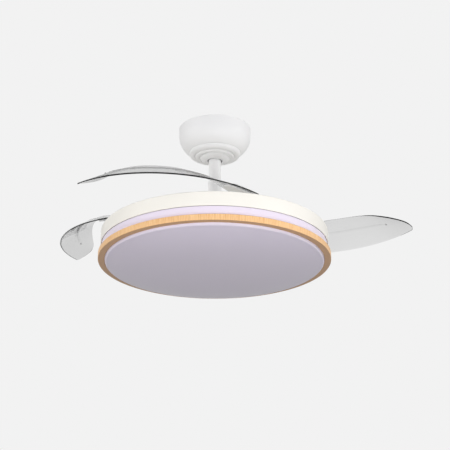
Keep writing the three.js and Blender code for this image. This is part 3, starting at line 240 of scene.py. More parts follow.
class ShaderGraph(NodeGraph):
    """A material's node tree round one principled shader."""

    def __init__(self, name: str) -> None:
        """Starts a material of that name.

        Args:
            name: The material's name.
        """
        self.material = bpy.data.materials.new(name)
        self.material.use_nodes = True
        super().__init__(self.material.node_tree)
        self.shader = self.tree.nodes["Principled BSDF"]
        self.output = self.tree.nodes["Material Output"]

    def place(self) -> Socket:
        """Returns the piece's own coordinates in metres."""
        return self.node("ShaderNodeTexCoord").outputs["Object"]

    def stretched(self, scale: Point) -> Socket:
        """Returns the piece's coordinates stretched by a scale on each axis."""
        mapping = self.node("ShaderNodeMapping", Scale=scale)
        self.link(self.place(), mapping.inputs["Vector"])
        return mapping.outputs["Vector"]

    def round_the_axis(self, scale: Point) -> Socket:
        """Returns coordinates that run round the fan's axis.

        Args:
            scale: Scale of the angle, of the height and of the radius.

        Returns:
            A vector of scaled angle, height and radius.
        """
        parts = self.node("ShaderNodeSeparateXYZ")
        self.link(self.place(), parts.inputs[0])
        angle = self.node("ShaderNodeMath", operation="ARCTAN2")
        flat = self.node("ShaderNodeCombineXYZ")
        for axis, order in (("Y", 0), ("X", 1)):
            self.link(parts.outputs[axis], angle.inputs[order])
            self.link(parts.outputs[axis], flat.inputs[axis])
        radius = self.node("ShaderNodeVectorMath", operation="LENGTH")
        self.link(flat.outputs[0], radius.inputs[0])
        joined = self.node("ShaderNodeCombineXYZ")
        sources = (angle.outputs[0], parts.outputs["Z"], radius.outputs["Value"])
        for target, (source, factor) in enumerate(zip(sources, scale)):
            times = self.node("ShaderNodeMath", operation="MULTIPLY")
            times.inputs[1].default_value = factor
            self.link(source, times.inputs[0])
            self.link(times.outputs[0], joined.inputs[target])
        return joined.outputs[0]

    def noise(self, vector: Socket, scale: float, detail: float = 3.0,
              roughness: float = 0.5) -> Socket:
        """Adds a noise texture.

        Args:
            vector: Coordinates.
            scale: Size of the pattern.
            detail: Number of finer layers.
            roughness: Strength of the finer layers.

        Returns:
            The noise value.
        """
        made = self.node("ShaderNodeTexNoise", Scale=scale, Detail=detail, Roughness=roughness)
        self.link(vector, made.inputs["Vector"])
        return made.outputs["Fac"]

    def grain(self, kind: Variation | Relief) -> Socket:
        """Returns noise of a kind in the piece's own coordinates."""
        return self.noise(self.place(), kind.scale, kind.detail)

    def ramp(self, value: Socket, stops: Sequence[tuple[float, Colour]]) -> Socket:
        """Colours a value through stops.

        Args:
            value: The driving value.
            stops: Places and linear colours, in rising order.

        Returns:
            The colour socket.
        """
        made = self.node("ShaderNodeValToRGB")
        elements = made.color_ramp.elements
        while len(elements) < len(stops):
            elements.new(0.5)
        for element, (place, colour) in zip(elements, stops):
            element.position = place
            element.color = (*colour, 1.0)
        self.link(value, made.inputs["Fac"])
        return made.outputs["Color"]

    def shaded(self, value: Socket, colour: Colour, dark: float, light: float,
               stops: Pair = (0.3, 0.7)) -> Socket:
        """Returns a colour that a value turns from a dark factor at one stop to a light one at the other."""
        return self.ramp(value, [(stops[0], scaled(colour, dark)), (stops[1], scaled(colour, light))])

    def mixed(self, factor: Socket, first: Socket, second: Socket) -> Socket:
        """Mixes two colours by a factor socket.

        Args:
            factor: Share of the second colour.
            first: The first colour.
            second: The second colour.

        Returns:
            The mixed colour.
        """
        made = self.node("ShaderNodeMix", data_type="RGBA")
        for name, source in (("Factor", factor), ("A", first), ("B", second)):
            self.link(source, made.inputs[name])
        return made.outputs["Result"]

    def paint(self, colour: Colour, tone: Variation, stops: Pair = (0.3, 0.7)) -> None:
        """Gives the shader a colour with small changes of tone."""
        self.feed("Base Color", self.shaded(self.grain(tone), colour, tone.low, tone.high, stops))

    def polish(self, roughness: float, gloss: Variation) -> None:
        """Gives the shader a roughness with small changes."""
        self.feed("Roughness", self.spread(self.grain(gloss), roughness + gloss.low, roughness + gloss.high))

    def raised(self, height: Socket, strength: float, distance: float) -> None:
        """Raises the surface by a height socket.

        Args:
            height: The height value.
            strength: Strength of the bump.
            distance: Height in metres at strength 1.
        """
        made = self.node("ShaderNodeBump", Strength=strength, Distance=distance)
        self.link(height, made.inputs["Height"])
        self.feed("Normal", made.outputs["Normal"])

    def textured(self, relief: Relief) -> None:
        """Raises the surface by a relief's noise."""
        self.raised(self.grain(relief), relief.strength, relief.height)

    def set(self, **values: object) -> None:
        """Sets the shader's own sockets; underscores in a name stand for spaces."""
        for key, value in values.items():
            self.shader.inputs[key.replace("_", " ")].default_value = value

    def feed(self, socket: str, source: Socket) -> None:
        """Links a socket into the shader."""
        self.link(source, self.shader.inputs[socket])


# Finishes


class Finish:
    """Recipe for a material."""

    def build(self, name: str) -> Material:
        """Builds the finish as a material.

        Args:
            name: The material's name.

        Returns:
            The material.
        """
        graph = ShaderGraph(name)
        self.lay(graph)
        return graph.material

    def lay(self, graph: ShaderGraph) -> None:
        """Adds the finish's nodes to a graph."""
        raise NotImplementedError


@dataclass(frozen=True)
class PaintFinish(Finish):
    """Satin powder coat with a faint orange peel and slight unevenness of tone."""

    colour: Colour
    roughness: float = 0.42
    tone: Variation = Variation(9.0, 3.0, 0.985, 1.012)
    tone_stops: Pair = (0.3, 0.7)
    gloss: Variation = Variation(60.0, 3.0, -0.05, 0.06)
    relief: Relief = Relief(700.0, 2.0, 0.05, 0.0006)
    coat: float = 0.12
    specular: float = 0.45

    def lay(self, graph: ShaderGraph) -> None:
        """Lays the paint.

        Args:
            graph: The graph that takes the nodes.
        """
        graph.paint(self.colour, self.tone, self.tone_stops)
        graph.polish(self.roughness, self.gloss)
        graph.textured(self.relief)
        graph.set(Coat_Weight=self.coat, Coat_Roughness=0.25, Specular_IOR_Level=self.specular)


@dataclass(frozen=True)
class MouldedFinish(PaintFinish):
    """Moulded plastic with a fine eroded texture and no coat."""

    roughness: float = 0.5
    tone: Variation = Variation(25.0, 4.0, 0.95, 1.03)
    tone_stops: Pair = (0.25, 0.75)
    gloss: Variation = Variation(220.0, 3.0, -0.08, 0.1)
    relief: Relief = Relief(1400.0, 2.0, 0.12, 0.0004)
    coat: float = 0.0
    specular: float = 0.5


@dataclass(frozen=True)
class OpalFinish(Finish):
    """Milky acrylic, unlit, with a soft bloom below its smooth face and a painted highlight that lightens it
    at grazing angles.
    """

    colour: Colour
    # rim is the lighter colour of the painted highlight where the face is seen at grazing angles
    rim: Colour
    roughness: float = 0.34
    cloud: Variation = Variation(3.5, 2.0, 0.985, 1.012)
    highlight_blend: float = 0.22
    highlight_share: float = 0.5
    gloss: Variation = Variation(40.0, 3.0, -0.04, 0.05)
    ripple: Relief = Relief(500.0, 1.0, 0.02, 0.0005)
    bloom: float = 0.25
    bloom_reach: Point = (0.006, 0.006, 0.007)
    specular: float = 0.3

    def lay(self, graph: ShaderGraph) -> None:
        """Lays the opal acrylic.

        Args:
            graph: The graph that takes the nodes.
        """
        cloud = graph.grain(self.cloud)
        body = graph.shaded(cloud, self.colour, self.cloud.low, self.cloud.high)
        # painted highlight: the colour turns towards the lighter rim colour at grazing angles
        rim = graph.shaded(cloud, self.rim, 0.99, 1.0)
        facing = graph.node("ShaderNodeLayerWeight", Blend=self.highlight_blend)
        share = graph.spread(facing.outputs["Fresnel"], 0.0, self.highlight_share)
        graph.feed("Base Color", graph.mixed(share, body, rim))
        graph.polish(self.roughness, self.gloss)
        graph.textured(self.ripple)
        graph.set(Subsurface_Weight=self.bloom, Subsurface_Radius=self.bloom_reach, Subsurface_Scale=1.0,
                  Specular_IOR_Level=self.specular)


@dataclass(frozen=True)
class AcrylicFinish(Finish):
    """Clear polished acrylic that greys with depth, so that its cut edges look dark."""

    facing: Colour
    grazing: Colour
    depth_colour: Colour = (0.5, 0.5, 0.5)
    density: float = 120.0
    bend: float = 1.28
    haze: Variation = Variation(12.0, 3.0, 0.01, 0.03)

    def lay(self, graph: ShaderGraph) -> None:
        """Lays the clear acrylic.

        Args:
            graph: The graph that takes the nodes.
        """
        haze = graph.grain(self.haze)
        slope = graph.node("ShaderNodeLayerWeight", Blend=0.5)
        straight = graph.shaded(haze, self.facing, 0.985, 1.01)
        slanted = graph.shaded(haze, self.grazing, 0.97, 1.0)
        graph.feed("Base Color", graph.mixed(slope.outputs["Facing"], straight, slanted))
        graph.feed("Roughness", graph.spread(haze, self.haze.low, self.haze.high))
        graph.set(Transmission_Weight=1.0, IOR=self.bend)
        depth = graph.node("ShaderNodeVolumeAbsorption", Color=(*self.depth_colour, 1.0),
                           Density=self.density)
        graph.link(depth.outputs["Volume"], graph.output.inputs["Volume"])


@dataclass(frozen=True)
class WoodFinish(Finish):
    """Light varnished wood: fine pores, streaks up the ring and slow changes of tone round it, with painted
    shade darkening its downward faces.
    """

    pale: Colour
    warm: Colour
    pore: Colour
    # under is a darker colour painted on the downward faces as shade
    under: Colour
    streak_scale: Point = (120.0, 14.0, 5.0)
    slow_scale: Point = (2.2, 3.0, 2.0)
    pore_scale: Point = (520.0, 26.0, 18.0)
    pore_edge: Pair = (0.6, 0.72)
    pore_share: float = 0.5
    # range of the normal's height over which the painted shade on downward faces comes in
    shade_normal_range: Pair = (-0.35, -0.85)
    specular: float = 0.35

    def down_shade_mask(self, graph: ShaderGraph) -> Socket:
        """Returns 1 where the wood faces down, where its colour is darkened as painted shade, and 0 on its
        sides.
        """
        parts = graph.node("ShaderNodeSeparateXYZ")
        graph.link(graph.node("ShaderNodeNewGeometry").outputs["Normal"], parts.inputs[0])
        return graph.spread(parts.outputs["Z"], 0.0, 1.0, *self.shade_normal_range)

    def lay(self, graph: ShaderGraph) -> None:
        """Lays the wood.

        Args:
            graph: The graph that takes the nodes.
        """
        streak = graph.noise(graph.round_the_axis(self.streak_scale), 1.6, 6.0, 0.62)
        body = graph.ramp(streak, [(0.32, self.warm), (0.5, scaled(self.pale, 0.97)), (0.66, self.pale)])
        warm = graph.ramp(streak, [(0.35, scaled(self.warm, 0.92)), (0.65, scaled(self.pale, 0.93))])
        slow = graph.noise(graph.round_the_axis(self.slow_scale), 2.0)
        toned = graph.mixed(graph.spread(slow, -0.15, 0.75), body, warm)
        pores = graph.noise(graph.round_the_axis(self.pore_scale), 1.0, 2.0)
        dark = graph.ramp(pores, [(0.0, self.pore), (1.0, self.pore)])
        grained = graph.mixed(graph.spread(pores, 0.0, self.pore_share, *self.pore_edge), toned, dark)
        # painted shade: the downward faces take the darker under colour
        under = graph.shaded(streak, self.under, 0.86, 1.0, (0.35, 0.65))
        graph.feed("Base Color", graph.mixed(self.down_shade_mask(graph), grained, under))
        graph.feed("Roughness", graph.spread(streak, 0.34, 0.52))
        graph.raised(streak, 0.12, 0.0005)
        graph.set(Specular_IOR_Level=self.specular)


@dataclass(frozen=True)
class MetalFinish(Finish):
    """Bare metal with fine working marks along one direction."""

    colour: Colour
    roughness: float = 0.34
    marks: Axis = Axis.ALONG_X

    def lay(self, graph: ShaderGraph) -> None:
        """Lays the metal.

        Args:
            graph: The graph that takes the nodes.
        """
        vector = {
            Axis.ROUND: lambda: graph.round_the_axis((3.0, 900.0, 900.0)),
            Axis.UPRIGHT: lambda: graph.stretched((900.0, 900.0, 20.0)),
            Axis.ALONG_X: lambda: graph.stretched((20.0, 900.0, 900.0)),
        }[self.marks]()
        lines = graph.noise(vector, 1.0)
        graph.feed("Base Color", graph.shaded(lines, self.colour, 0.9, 1.04))
        graph.feed("Roughness", graph.spread(lines, self.roughness - 0.07, self.roughness + 0.1))
        graph.raised(lines, 0.06, 0.0002)
        graph.set(Metallic=1.0)


@dataclass(frozen=True)
class CoilFinish(Finish):
    """Enamelled wire laid in close turns, with painted shade in the grooves between them."""

    bright: Colour
    # groove is a dark colour painted as shade between the turns
    groove: Colour

    def lay(self, graph: ShaderGraph) -> None:
        """Lays the winding.

        Args:
            graph: The graph that takes the nodes.
        """
        wave = graph.node("ShaderNodeTexWave", wave_type="RINGS", rings_direction="Z", Scale=380.0,
                          Distortion=0.4)
        graph.link(graph.place(), wave.inputs["Vector"])
        turns = wave.outputs["Fac"]
        # painted shade: the colour darkens into the grooves between the turns
        graph.feed("Base Color", graph.ramp(turns, [(0.1, self.groove), (0.5, self.bright)]))
        graph.feed("Roughness", graph.spread(turns, 0.5, 0.3))
        graph.raised(turns, 0.5, 0.0004)
        graph.set(Metallic=0.85)


@dataclass(frozen=True)
class BoardFinish(Finish):
    """White solder mask with faint dots of light sources."""

    mask: Colour
    dot: Colour
    gloss: Variation = Variation(300.0, 3.0, 0.0, 0.15)

    def lay(self, graph: ShaderGraph) -> None:
        """Lays the circuit board.

        Args:
            graph: The graph that takes the nodes.
        """
        cells = graph.node("ShaderNodeTexVoronoi", Scale=45.0, Randomness=0.0)
        graph.link(graph.stretched((1.0, 1.0, 0.01)), cells.inputs["Vector"])
        graph.feed("Base Color", graph.ramp(cells.outputs["Distance"], [
            (0.12, self.dot), (0.16, self.mask), (1.0, self.mask)]))
        graph.polish(0.4, self.gloss)


class Finishes:
    """The finishes of the whole fan, one material for each slot of the record."""

    def __init__(self) -> None:
        """Builds every material once."""
        recipes = {
            Slot.WHITE_PAINT: PaintFinish(linear(249, 246, 238)),
            Special.COOL_PAINT: PaintFinish(linear(243, 243, 243)),
            Slot.WHITE_PLASTIC: MouldedFinish(linear(238, 238, 236)),
            Slot.GREY_PLASTIC: MouldedFinish(linear(120, 122, 125)),
            Slot.NYLON: MouldedFinish(linear(228, 224, 212), 0.45),
            Slot.CLEAR_ACRYLIC: AcrylicFinish((0.97, 0.97, 0.968), (0.7, 0.7, 0.7)),
            # the second opal colour is a painted highlight at grazing angles
            Slot.OPAL_ACRYLIC: OpalFinish(linear(240, 230, 249), linear(248, 241, 252)),
            # the last wood colour is painted shade for the downward faces
            Slot.LIGHT_WOOD: WoodFinish(linear(255, 212, 158), linear(228, 165, 100), linear(168, 112, 64),
                                        linear(212, 166, 122)),
            Slot.STEEL: MetalFinish((0.56, 0.57, 0.58), 0.3, Axis.ROUND),
            Slot.ZINC_STEEL: MetalFinish((0.62, 0.63, 0.65), 0.4),
            Slot.CORE_STEEL: MetalFinish((0.2, 0.2, 0.21), 0.5, Axis.ROUND),
            # the second copper colour is painted shade between the turns
            Slot.COPPER: CoilFinish((0.55, 0.22, 0.09), (0.16, 0.05, 0.02)),
            Slot.ALUMINIUM: MetalFinish((0.72, 0.73, 0.75), 0.42),
            Slot.MAGNET: MetalFinish((0.07, 0.07, 0.075), 0.6, Axis.UPRIGHT),
            Slot.BOARD: BoardFinish(linear(228, 232, 230), linear(236, 214, 120)),
        }
        self.materials = {slot: recipe.build(f"{slot.value}_finish") for slot, recipe in recipes.items()}

    def dress(self, piece: Piece, slot: Slot, special: Optional[Special] = None) -> None:
        """Gives a piece the material of a slot.

        Args:
            piece: The piece to dress.
            slot: The slot of the record.
            special: A finish that takes the place of the slot's plain one.
        """
        piece.data.materials.clear()
        piece.data.materials.append(self.materials[special or slot])

    def dress_nodes(self) -> int:
        """Gives every CAD node the material of its own slot.

        Returns:
            The number of nodes dressed.
        """
        count = 0
        for entry in frame["record"]["subparts"]:
            node = frame["nodes"].get(entry["node"])
            if node is None:
                continue
            material = self.materials[Slot(entry["material_slot"])]
            for holder in node.material_slots:
                holder.material = material
            count += 1
        return count


# Mesh tools


def new_piece(name: str, points: Sequence[Point], faces: Sequence[Sequence[int]],
              sharp_degrees: float = SHARP_DEGREES) -> Piece:
    """Makes a smooth-shaded object from points in metres.

    Args:
        name: The piece's name.
        points: Places in the row frame.
        faces: Corner indices of each face.
        sharp_degrees: Edges that bend by more than this stay sharp.

    Returns:
        The new object, linked to the scene.
    """
    mesh = bpy.data.meshes.new(name)
    mesh.from_pydata([tuple(p) for p in points], [], [tuple(f) for f in faces])
    mesh.validate()
    work = bmesh.new()
    work.from_mesh(mesh)
    bmesh.ops.recalc_face_normals(work, faces=work.faces)
    work.to_mesh(mesh)
    work.free()
    mesh.shade_smooth()
    mesh.set_sharp_from_angle(angle=math.radians(sharp_degrees))
    made = bpy.data.objects.new(name, mesh)
    bpy.context.scene.collection.objects.link(made)
    return made


def arc(cx: float, cz: float, radius: float, start: float, end: float, steps: int) -> Profile:
    """Returns points of an arc in a profile, with the angles in degrees."""
    angles = [math.radians(start + (end - start) * i / steps) for i in range(steps + 1)]
    return [(cx + radius * math.cos(a), cz + radius * math.sin(a)) for a in angles]


def eased(profile: Profile, radius: float, steps: int = 4) -> Profile:
    """Rounds the corners of a closed profile.

    Args:
        profile: Radius and height of each corner in millimetres.
        radius: Rounding radius in millimetres.
        steps: Points on each rounded corner.

    Returns:
        The rounded profile.
    """
    out: Profile = []
    count = len(profile)
    for i, (x, z) in enumerate(profile):
        before = Vector((profile[i - 1][0] - x, profile[i - 1][1] - z))
        after = Vector((profile[(i + 1) % count][0] - x, profile[(i + 1) % count][1] - z))
        bend = before.angle(after) if min(before.length, after.length, x) >= TINY else math.pi
        if bend > math.radians(STRAIGHT_DEGREES):
            out.append((x, z))
            continue
        cut = min(radius / math.tan(bend / 2), before.length * CORNER_SHARE, after.length * CORNER_SHARE)
        start, end = before.normalized() * cut, after.normalized() * cut
        for k in range(steps + 1):
            t = k / steps
            offset = (1 - t) ** 2 * start + t ** 2 * end
            out.append((x + offset.x, z + offset.y))
    return out


def turned(name: str, profile: Profile, segments: int = 160, centre: Pair = (0.0, 0.0),
           sharp_degrees: float = SHARP_DEGREES) -> Piece:
    """Turns a closed profile about an upright axis.

    Args:
        name: The piece's name.
        profile: Radius and height of each point in millimetres.
        segments: Number of sides round the axis.
        centre: Place of the axis in millimetres.
        sharp_degrees: Edges that bend by more than this stay sharp.

    Returns:
        The turned object.
    """
    points: list[Point] = []
    rings: list[list[int]] = []
    for radius, height in profile:
        if radius < TINY:
            points.append((centre[0] * MM, centre[1] * MM, height * MM))
            rings.append([len(points) - 1] * segments)
            continue
        ring = []
        for k in range(segments):
            a = 2 * math.pi * k / segments
            points.append(((centre[0] + radius * math.cos(a)) * MM, (centre[1] + radius * math.sin(a)) * MM,
                           height * MM))
            ring.append(len(points) - 1)
        rings.append(ring)
    area = sum(profile[i - 1][0] * p[1] - p[0] * profile[i - 1][1] for i, p in enumerate(profile))
    faces: list[list[int]] = []
    for i, ring in enumerate(rings):
        following = rings[(i + 1) % len(rings)]
        for k in range(segments):
            n = (k + 1) % segments
            corners = [ring[k], ring[n], following[n], following[k]]
            unique = [c for j, c in enumerate(corners) if c not in corners[:j]]
            if len(unique) >= 3:
                faces.append(unique if area > 0 else unique[::-1])
    return new_piece(name, points, faces, sharp_degrees)


def worked_copy(name: str, node: str, bevel: float) -> Piece:
    """Copies a CAD node as a new piece with merged flats and softly broken edges.

    Args:
        name: The new piece's name.
        node: The CAD node to copy.
        bevel: Width of the broken edge in millimetres.

    Returns:
        The new piece.
    """
    source = frame["nodes"][node]
    made = bpy.data.objects.new(name, source.data.copy())
    bpy.context.scene.collection.objects.link(made)
    made.matrix_world = source.matrix_world.copy()
    work = bmesh.new()
    work.from_mesh(made.data)
    bmesh.ops.remove_doubles(work, verts=work.verts, dist=MERGE_METRES)
    bmesh.ops.dissolve_limit(work, angle_limit=math.radians(FLAT_DEGREES), verts=work.verts, edges=work.edges)
    work.to_mesh(made.data)
    work.free()
    made.data.shade_smooth()
    made.data.set_sharp_from_angle(angle=math.radians(SHARP_DEGREES))
    edge = made.modifiers.new("broken_edge", "BEVEL")
    edge.width = bevel * MM
    edge.segments = 2
    edge.limit_method = "ANGLE"
    edge.angle_limit = math.radians(BEVEL_DEGREES)
    return made


@dataclass
class Workshop:
    """Hands finished pieces over to the frame."""

    finishes: Finishes
    made: list[str] = field(default_factory=list)

    def hand_over(self, piece: Piece, body: Body, slot: Slot, *nodes: str,
                  special: Optional[Special] = None) -> None:
        """Dresses a piece, lets it ride on its body and replaces its CAD nodes.

        Args:
            piece: The piece.
            body: The body it rides on.
            slot: Its material slot.
            *nodes: CAD nodes that it stands for.
            special: A finish that takes the place of the slot's plain one.
        """
        self.finishes.dress(piece, slot, special)
        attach(piece, body.value)
        if nodes:
            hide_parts(*nodes)
        self.made.append(piece.name)
        LOG.info("%s rides on %s for %s", piece.name, body.value, ", ".join(nodes) or "no node")


# Canopy


@dataclass
class Canopy:
    """White bowl, trim ring and ball cover under the ceiling. Sizes in millimetres."""

    radius: float = 79.0
    wall: float = 1.2
    straight: float = 17.0
    depth: float = 57.0
    lip: float = 0.2
    step_radius: float = 57.0
    flange_radius: float = 46.0
    trim_depth: float = 9.0
    trim_inner: float = 44.2
    trim_wall: float = 1.5
    trim_overlap: float = 1.0
    gap: float = 0.3
    groove: float = 0.7
    ring_width: float = 10.5
    crest_drop: float = 4.0
    crest_degrees: float = 150.0
    cover_wall: float = 1.5
    dome_radius: float = 32.5
    dome_drop: float = 10.2
    rod_hole: float = 17.0
    rod_lip: float = 1.3
    edge: float = 0.4

    def __post_init__(self) -> None:
        """Works out the heights of the trim ring."""
        self.trim_top = -self.depth - self.gap
        self.trim_bottom = self.trim_top - self.trim_depth

    def shell(self) -> Piece:
        """Returns the bowl with a soft lip at the ceiling and a sharp step at its foot."""
        inset = self.radius - self.step_radius
        drop = self.depth - self.straight
        bowl = (inset ** 2 + drop ** 2) / (2 * inset)
        inner = bowl - self.wall
        centre = self.radius - bowl
        outer_end = -math.degrees(math.asin(drop / bowl))
        inner_end = -math.degrees(math.asin((drop - self.wall) / inner))
        profile = [(self.radius - self.edge, -self.lip), (self.radius, -self.lip - 0.5),
                   *arc(centre, -self.straight, bowl, 0, outer_end, 28),
                   (self.step_radius - 0.6, -self.depth), (self.flange_radius, -self.depth),
                   (self.flange_radius, -self.depth + self.wall),
                   *arc(centre, -self.straight, inner, inner_end, 0, 16),
                   (self.radius - self.wall, -self.lip)]
        return turned("canopy_bowl", profile)

    @staticmethod
    def fold(middle: float, top: float, wide: float, deep: float, end: float, steps: int) -> Profile:
        """Returns an oval fold that hangs from a level, from its outer side to an angle in degrees."""
        angles = [math.radians(end * i / steps) for i in range(steps + 1)]
        return [(middle + wide * math.cos(a), top - deep * math.sin(a)) for a in angles]

    def trim(self) -> Piece:
        """Returns the rounded trim ring."""
        centre = self.trim_inner + self.trim_wall + self.gap
        wide, thin = self.step_radius - self.gap - centre, self.trim_wall
        front = self.fold(centre, self.trim_top, wide, self.trim_depth, 90, 16)
        back = self.fold(centre, self.trim_top, wide - thin, self.trim_depth - thin, 90, 8)
        rise = self.trim_top - self.trim_overlap
        profile = [*front, (self.trim_inner + self.edge, self.trim_bottom),
                   (self.trim_inner, self.trim_bottom + self.edge), (self.trim_inner, rise),
                   (self.trim_inner + thin, rise), *back[::-1]]
        return turned("canopy_trim", profile)

    def cover(self) -> Piece:
        """Returns the raised ring and the dome inside it, round the downrod."""
        outer, half, thin = self.trim_inner - self.groove, self.ring_width / 2, self.cover_wall
        crest, crest_back = (self.fold(outer - half, self.trim_bottom, half - inset, self.crest_drop - inset,
                                       self.crest_degrees, steps) for inset, steps in ((0, 18), (thin, 8)))
        lip = self.rod_hole + self.rod_lip
        dome_top = self.trim_bottom - self.crest_drop / 2
        dome_bottom = self.trim_bottom - self.dome_drop
        wide, deep = self.dome_radius - lip, dome_top - dome_bottom
        dome, dome_back = (self.fold(lip, dome_top, wide - inset, deep - inset, 90, steps)
                           for inset, steps in ((0, 18), (thin, 8)))
        rise = self.trim_top - self.trim_overlap
        profile = [(outer, rise), *crest, *dome, (self.rod_hole + 0.3, dome_bottom + 0.1),
                   (self.rod_hole, dome_bottom + 0.5), (self.rod_hole, dome_bottom + thin), *dome_back[::-1],
                   (self.dome_radius, dome_top + thin), *crest_back[::-1], (outer - thin, rise)]
        return turned("canopy_ball_cover", profile, sharp_degrees=50)

    def build(self, shop: Workshop) -> None:
        """Makes the three covers and hands them over.

        Args:
            shop: The workshop that takes the pieces.
        """
        for piece, node in ((self.shell(), "canopy_shell"), (self.trim(), "canopy_trim_ring"),
                            (self.cover(), "ball_cover")):
            shop.hand_over(piece, Body.CEILING, Slot.WHITE_PAINT, node, special=Special.COOL_PAINT)


# Downrod and motor


@dataclass
class Drop:
    """Downrod tube and the collar under it. Sizes in millimetres."""

    rod_radius: float = 13.35
    rod_wall: float = 2.2
    rod_top: float = -28.0
    rod_length: float = 148.0
    collar_radius: float = 15.0
    collar_bore: float = 13.5
    collar_top: float = -127.0
    foot: float = -190.0
    foot_radius: float = 24.0
    foot_height: float = 6.0
    flare: Pair = (3.0, 2.0)
    floor: float = 4.0
    shaft_bore: float = 8.8
    rod_edge: float = 0.5
    collar_edge: float = 0.7

    def rod(self) -> Piece:
        """Returns the painted tube with eased ends."""
        inner, bottom = self.rod_radius - self.rod_wall, self.rod_top - self.rod_length
        profile = [(inner, bottom), (self.rod_radius, bottom), (self.rod_radius, self.rod_top),
                   (inner, self.rod_top)]
        return turned("downrod_tube", eased(profile, self.rod_edge), 96)

    def collar(self) -> Piece:
        """Returns the sleeve with its flared foot."""
        start, floor = self.foot + self.foot_height, self.foot + self.floor
        out, drop = self.flare
        profile = [(self.collar_bore, self.collar_top), (self.collar_radius, self.collar_top),
                   (self.collar_radius, start), (self.collar_radius + out, start - drop),
                   (self.foot_radius, self.foot + drop), (self.foot_radius, self.foot),
                   (self.shaft_bore, self.foot), (self.shaft_bore, floor), (self.collar_bore, floor)]
        return turned("downrod_collar", eased(profile, self.collar_edge), 96)

    def build(self, shop: Workshop) -> None:
        """Makes the tube and collar and hands them over."""
        for piece, node in ((self.rod(), "downrod"), (self.collar(), "yoke_collar")):
            shop.hand_over(piece, Body.HANGING, Slot.WHITE_PAINT, node, special=Special.COOL_PAINT)


@dataclass
class Motor:
    """Turning motor housing in two halves. Sizes in millimetres."""

    radius: float = 70.0
    top: float = -200.0
    height: float = 38.7
    split: float = 19.0
    corner: float = 9.0
    wall: float = 2.5
    shaft_hole: float = 12.0
    boss: float = 17.7
    boss_wall: float = 3.0
    bearing: float = 9.6
    gap: float = 0.3
    edge: float = 0.4

    def half(self, name: str, face: float, joint: float, way: int) -> Piece:
        """Makes one half with its round shoulder and bearing boss.

        Args:
            name: The piece's name.
            face: Height of its flat face.
            joint: Height at which it meets the other half.
            way: 1 for the upper half and -1 for the lower.

        Returns:
            The half.
        """
        c, e = self.corner, self.edge
        under, boss_end = face - way * self.wall, face - way * (self.wall + self.bearing)
        boss_out = self.boss + self.boss_wall
        profile = [(self.shaft_hole, face), *arc(self.radius - c, face - way * c, c, way * 90, 0, 12),
                   (self.radius, joint + way * e), (self.radius - e, joint), (self.radius - self.wall, joint),
                   *arc(self.radius - c, face - way * c, c - self.wall, 0, way * 90, 6),
                   (boss_out, under), (boss_out, boss_end), (self.boss, boss_end), (self.boss, under),
                   (self.shaft_hole, under)]
        return turned(name, profile, 128)

    def build(self, shop: Workshop) -> None:
        """Makes both halves and hands them over.

        Args:
            shop: The workshop that takes the pieces.
        """
        joint = self.top - self.split
        upper = self.half("motor_upper_housing", self.top, joint, 1)
        lower = self.half("motor_lower_housing", self.top - self.height, joint - self.gap, -1)
        shop.hand_over(upper, Body.ROTOR, Slot.WHITE_PAINT, "motor_upper_cover")
        shop.hand_over(lower, Body.ROTOR, Slot.ALUMINIUM, "motor_lower_cover")


# Blades


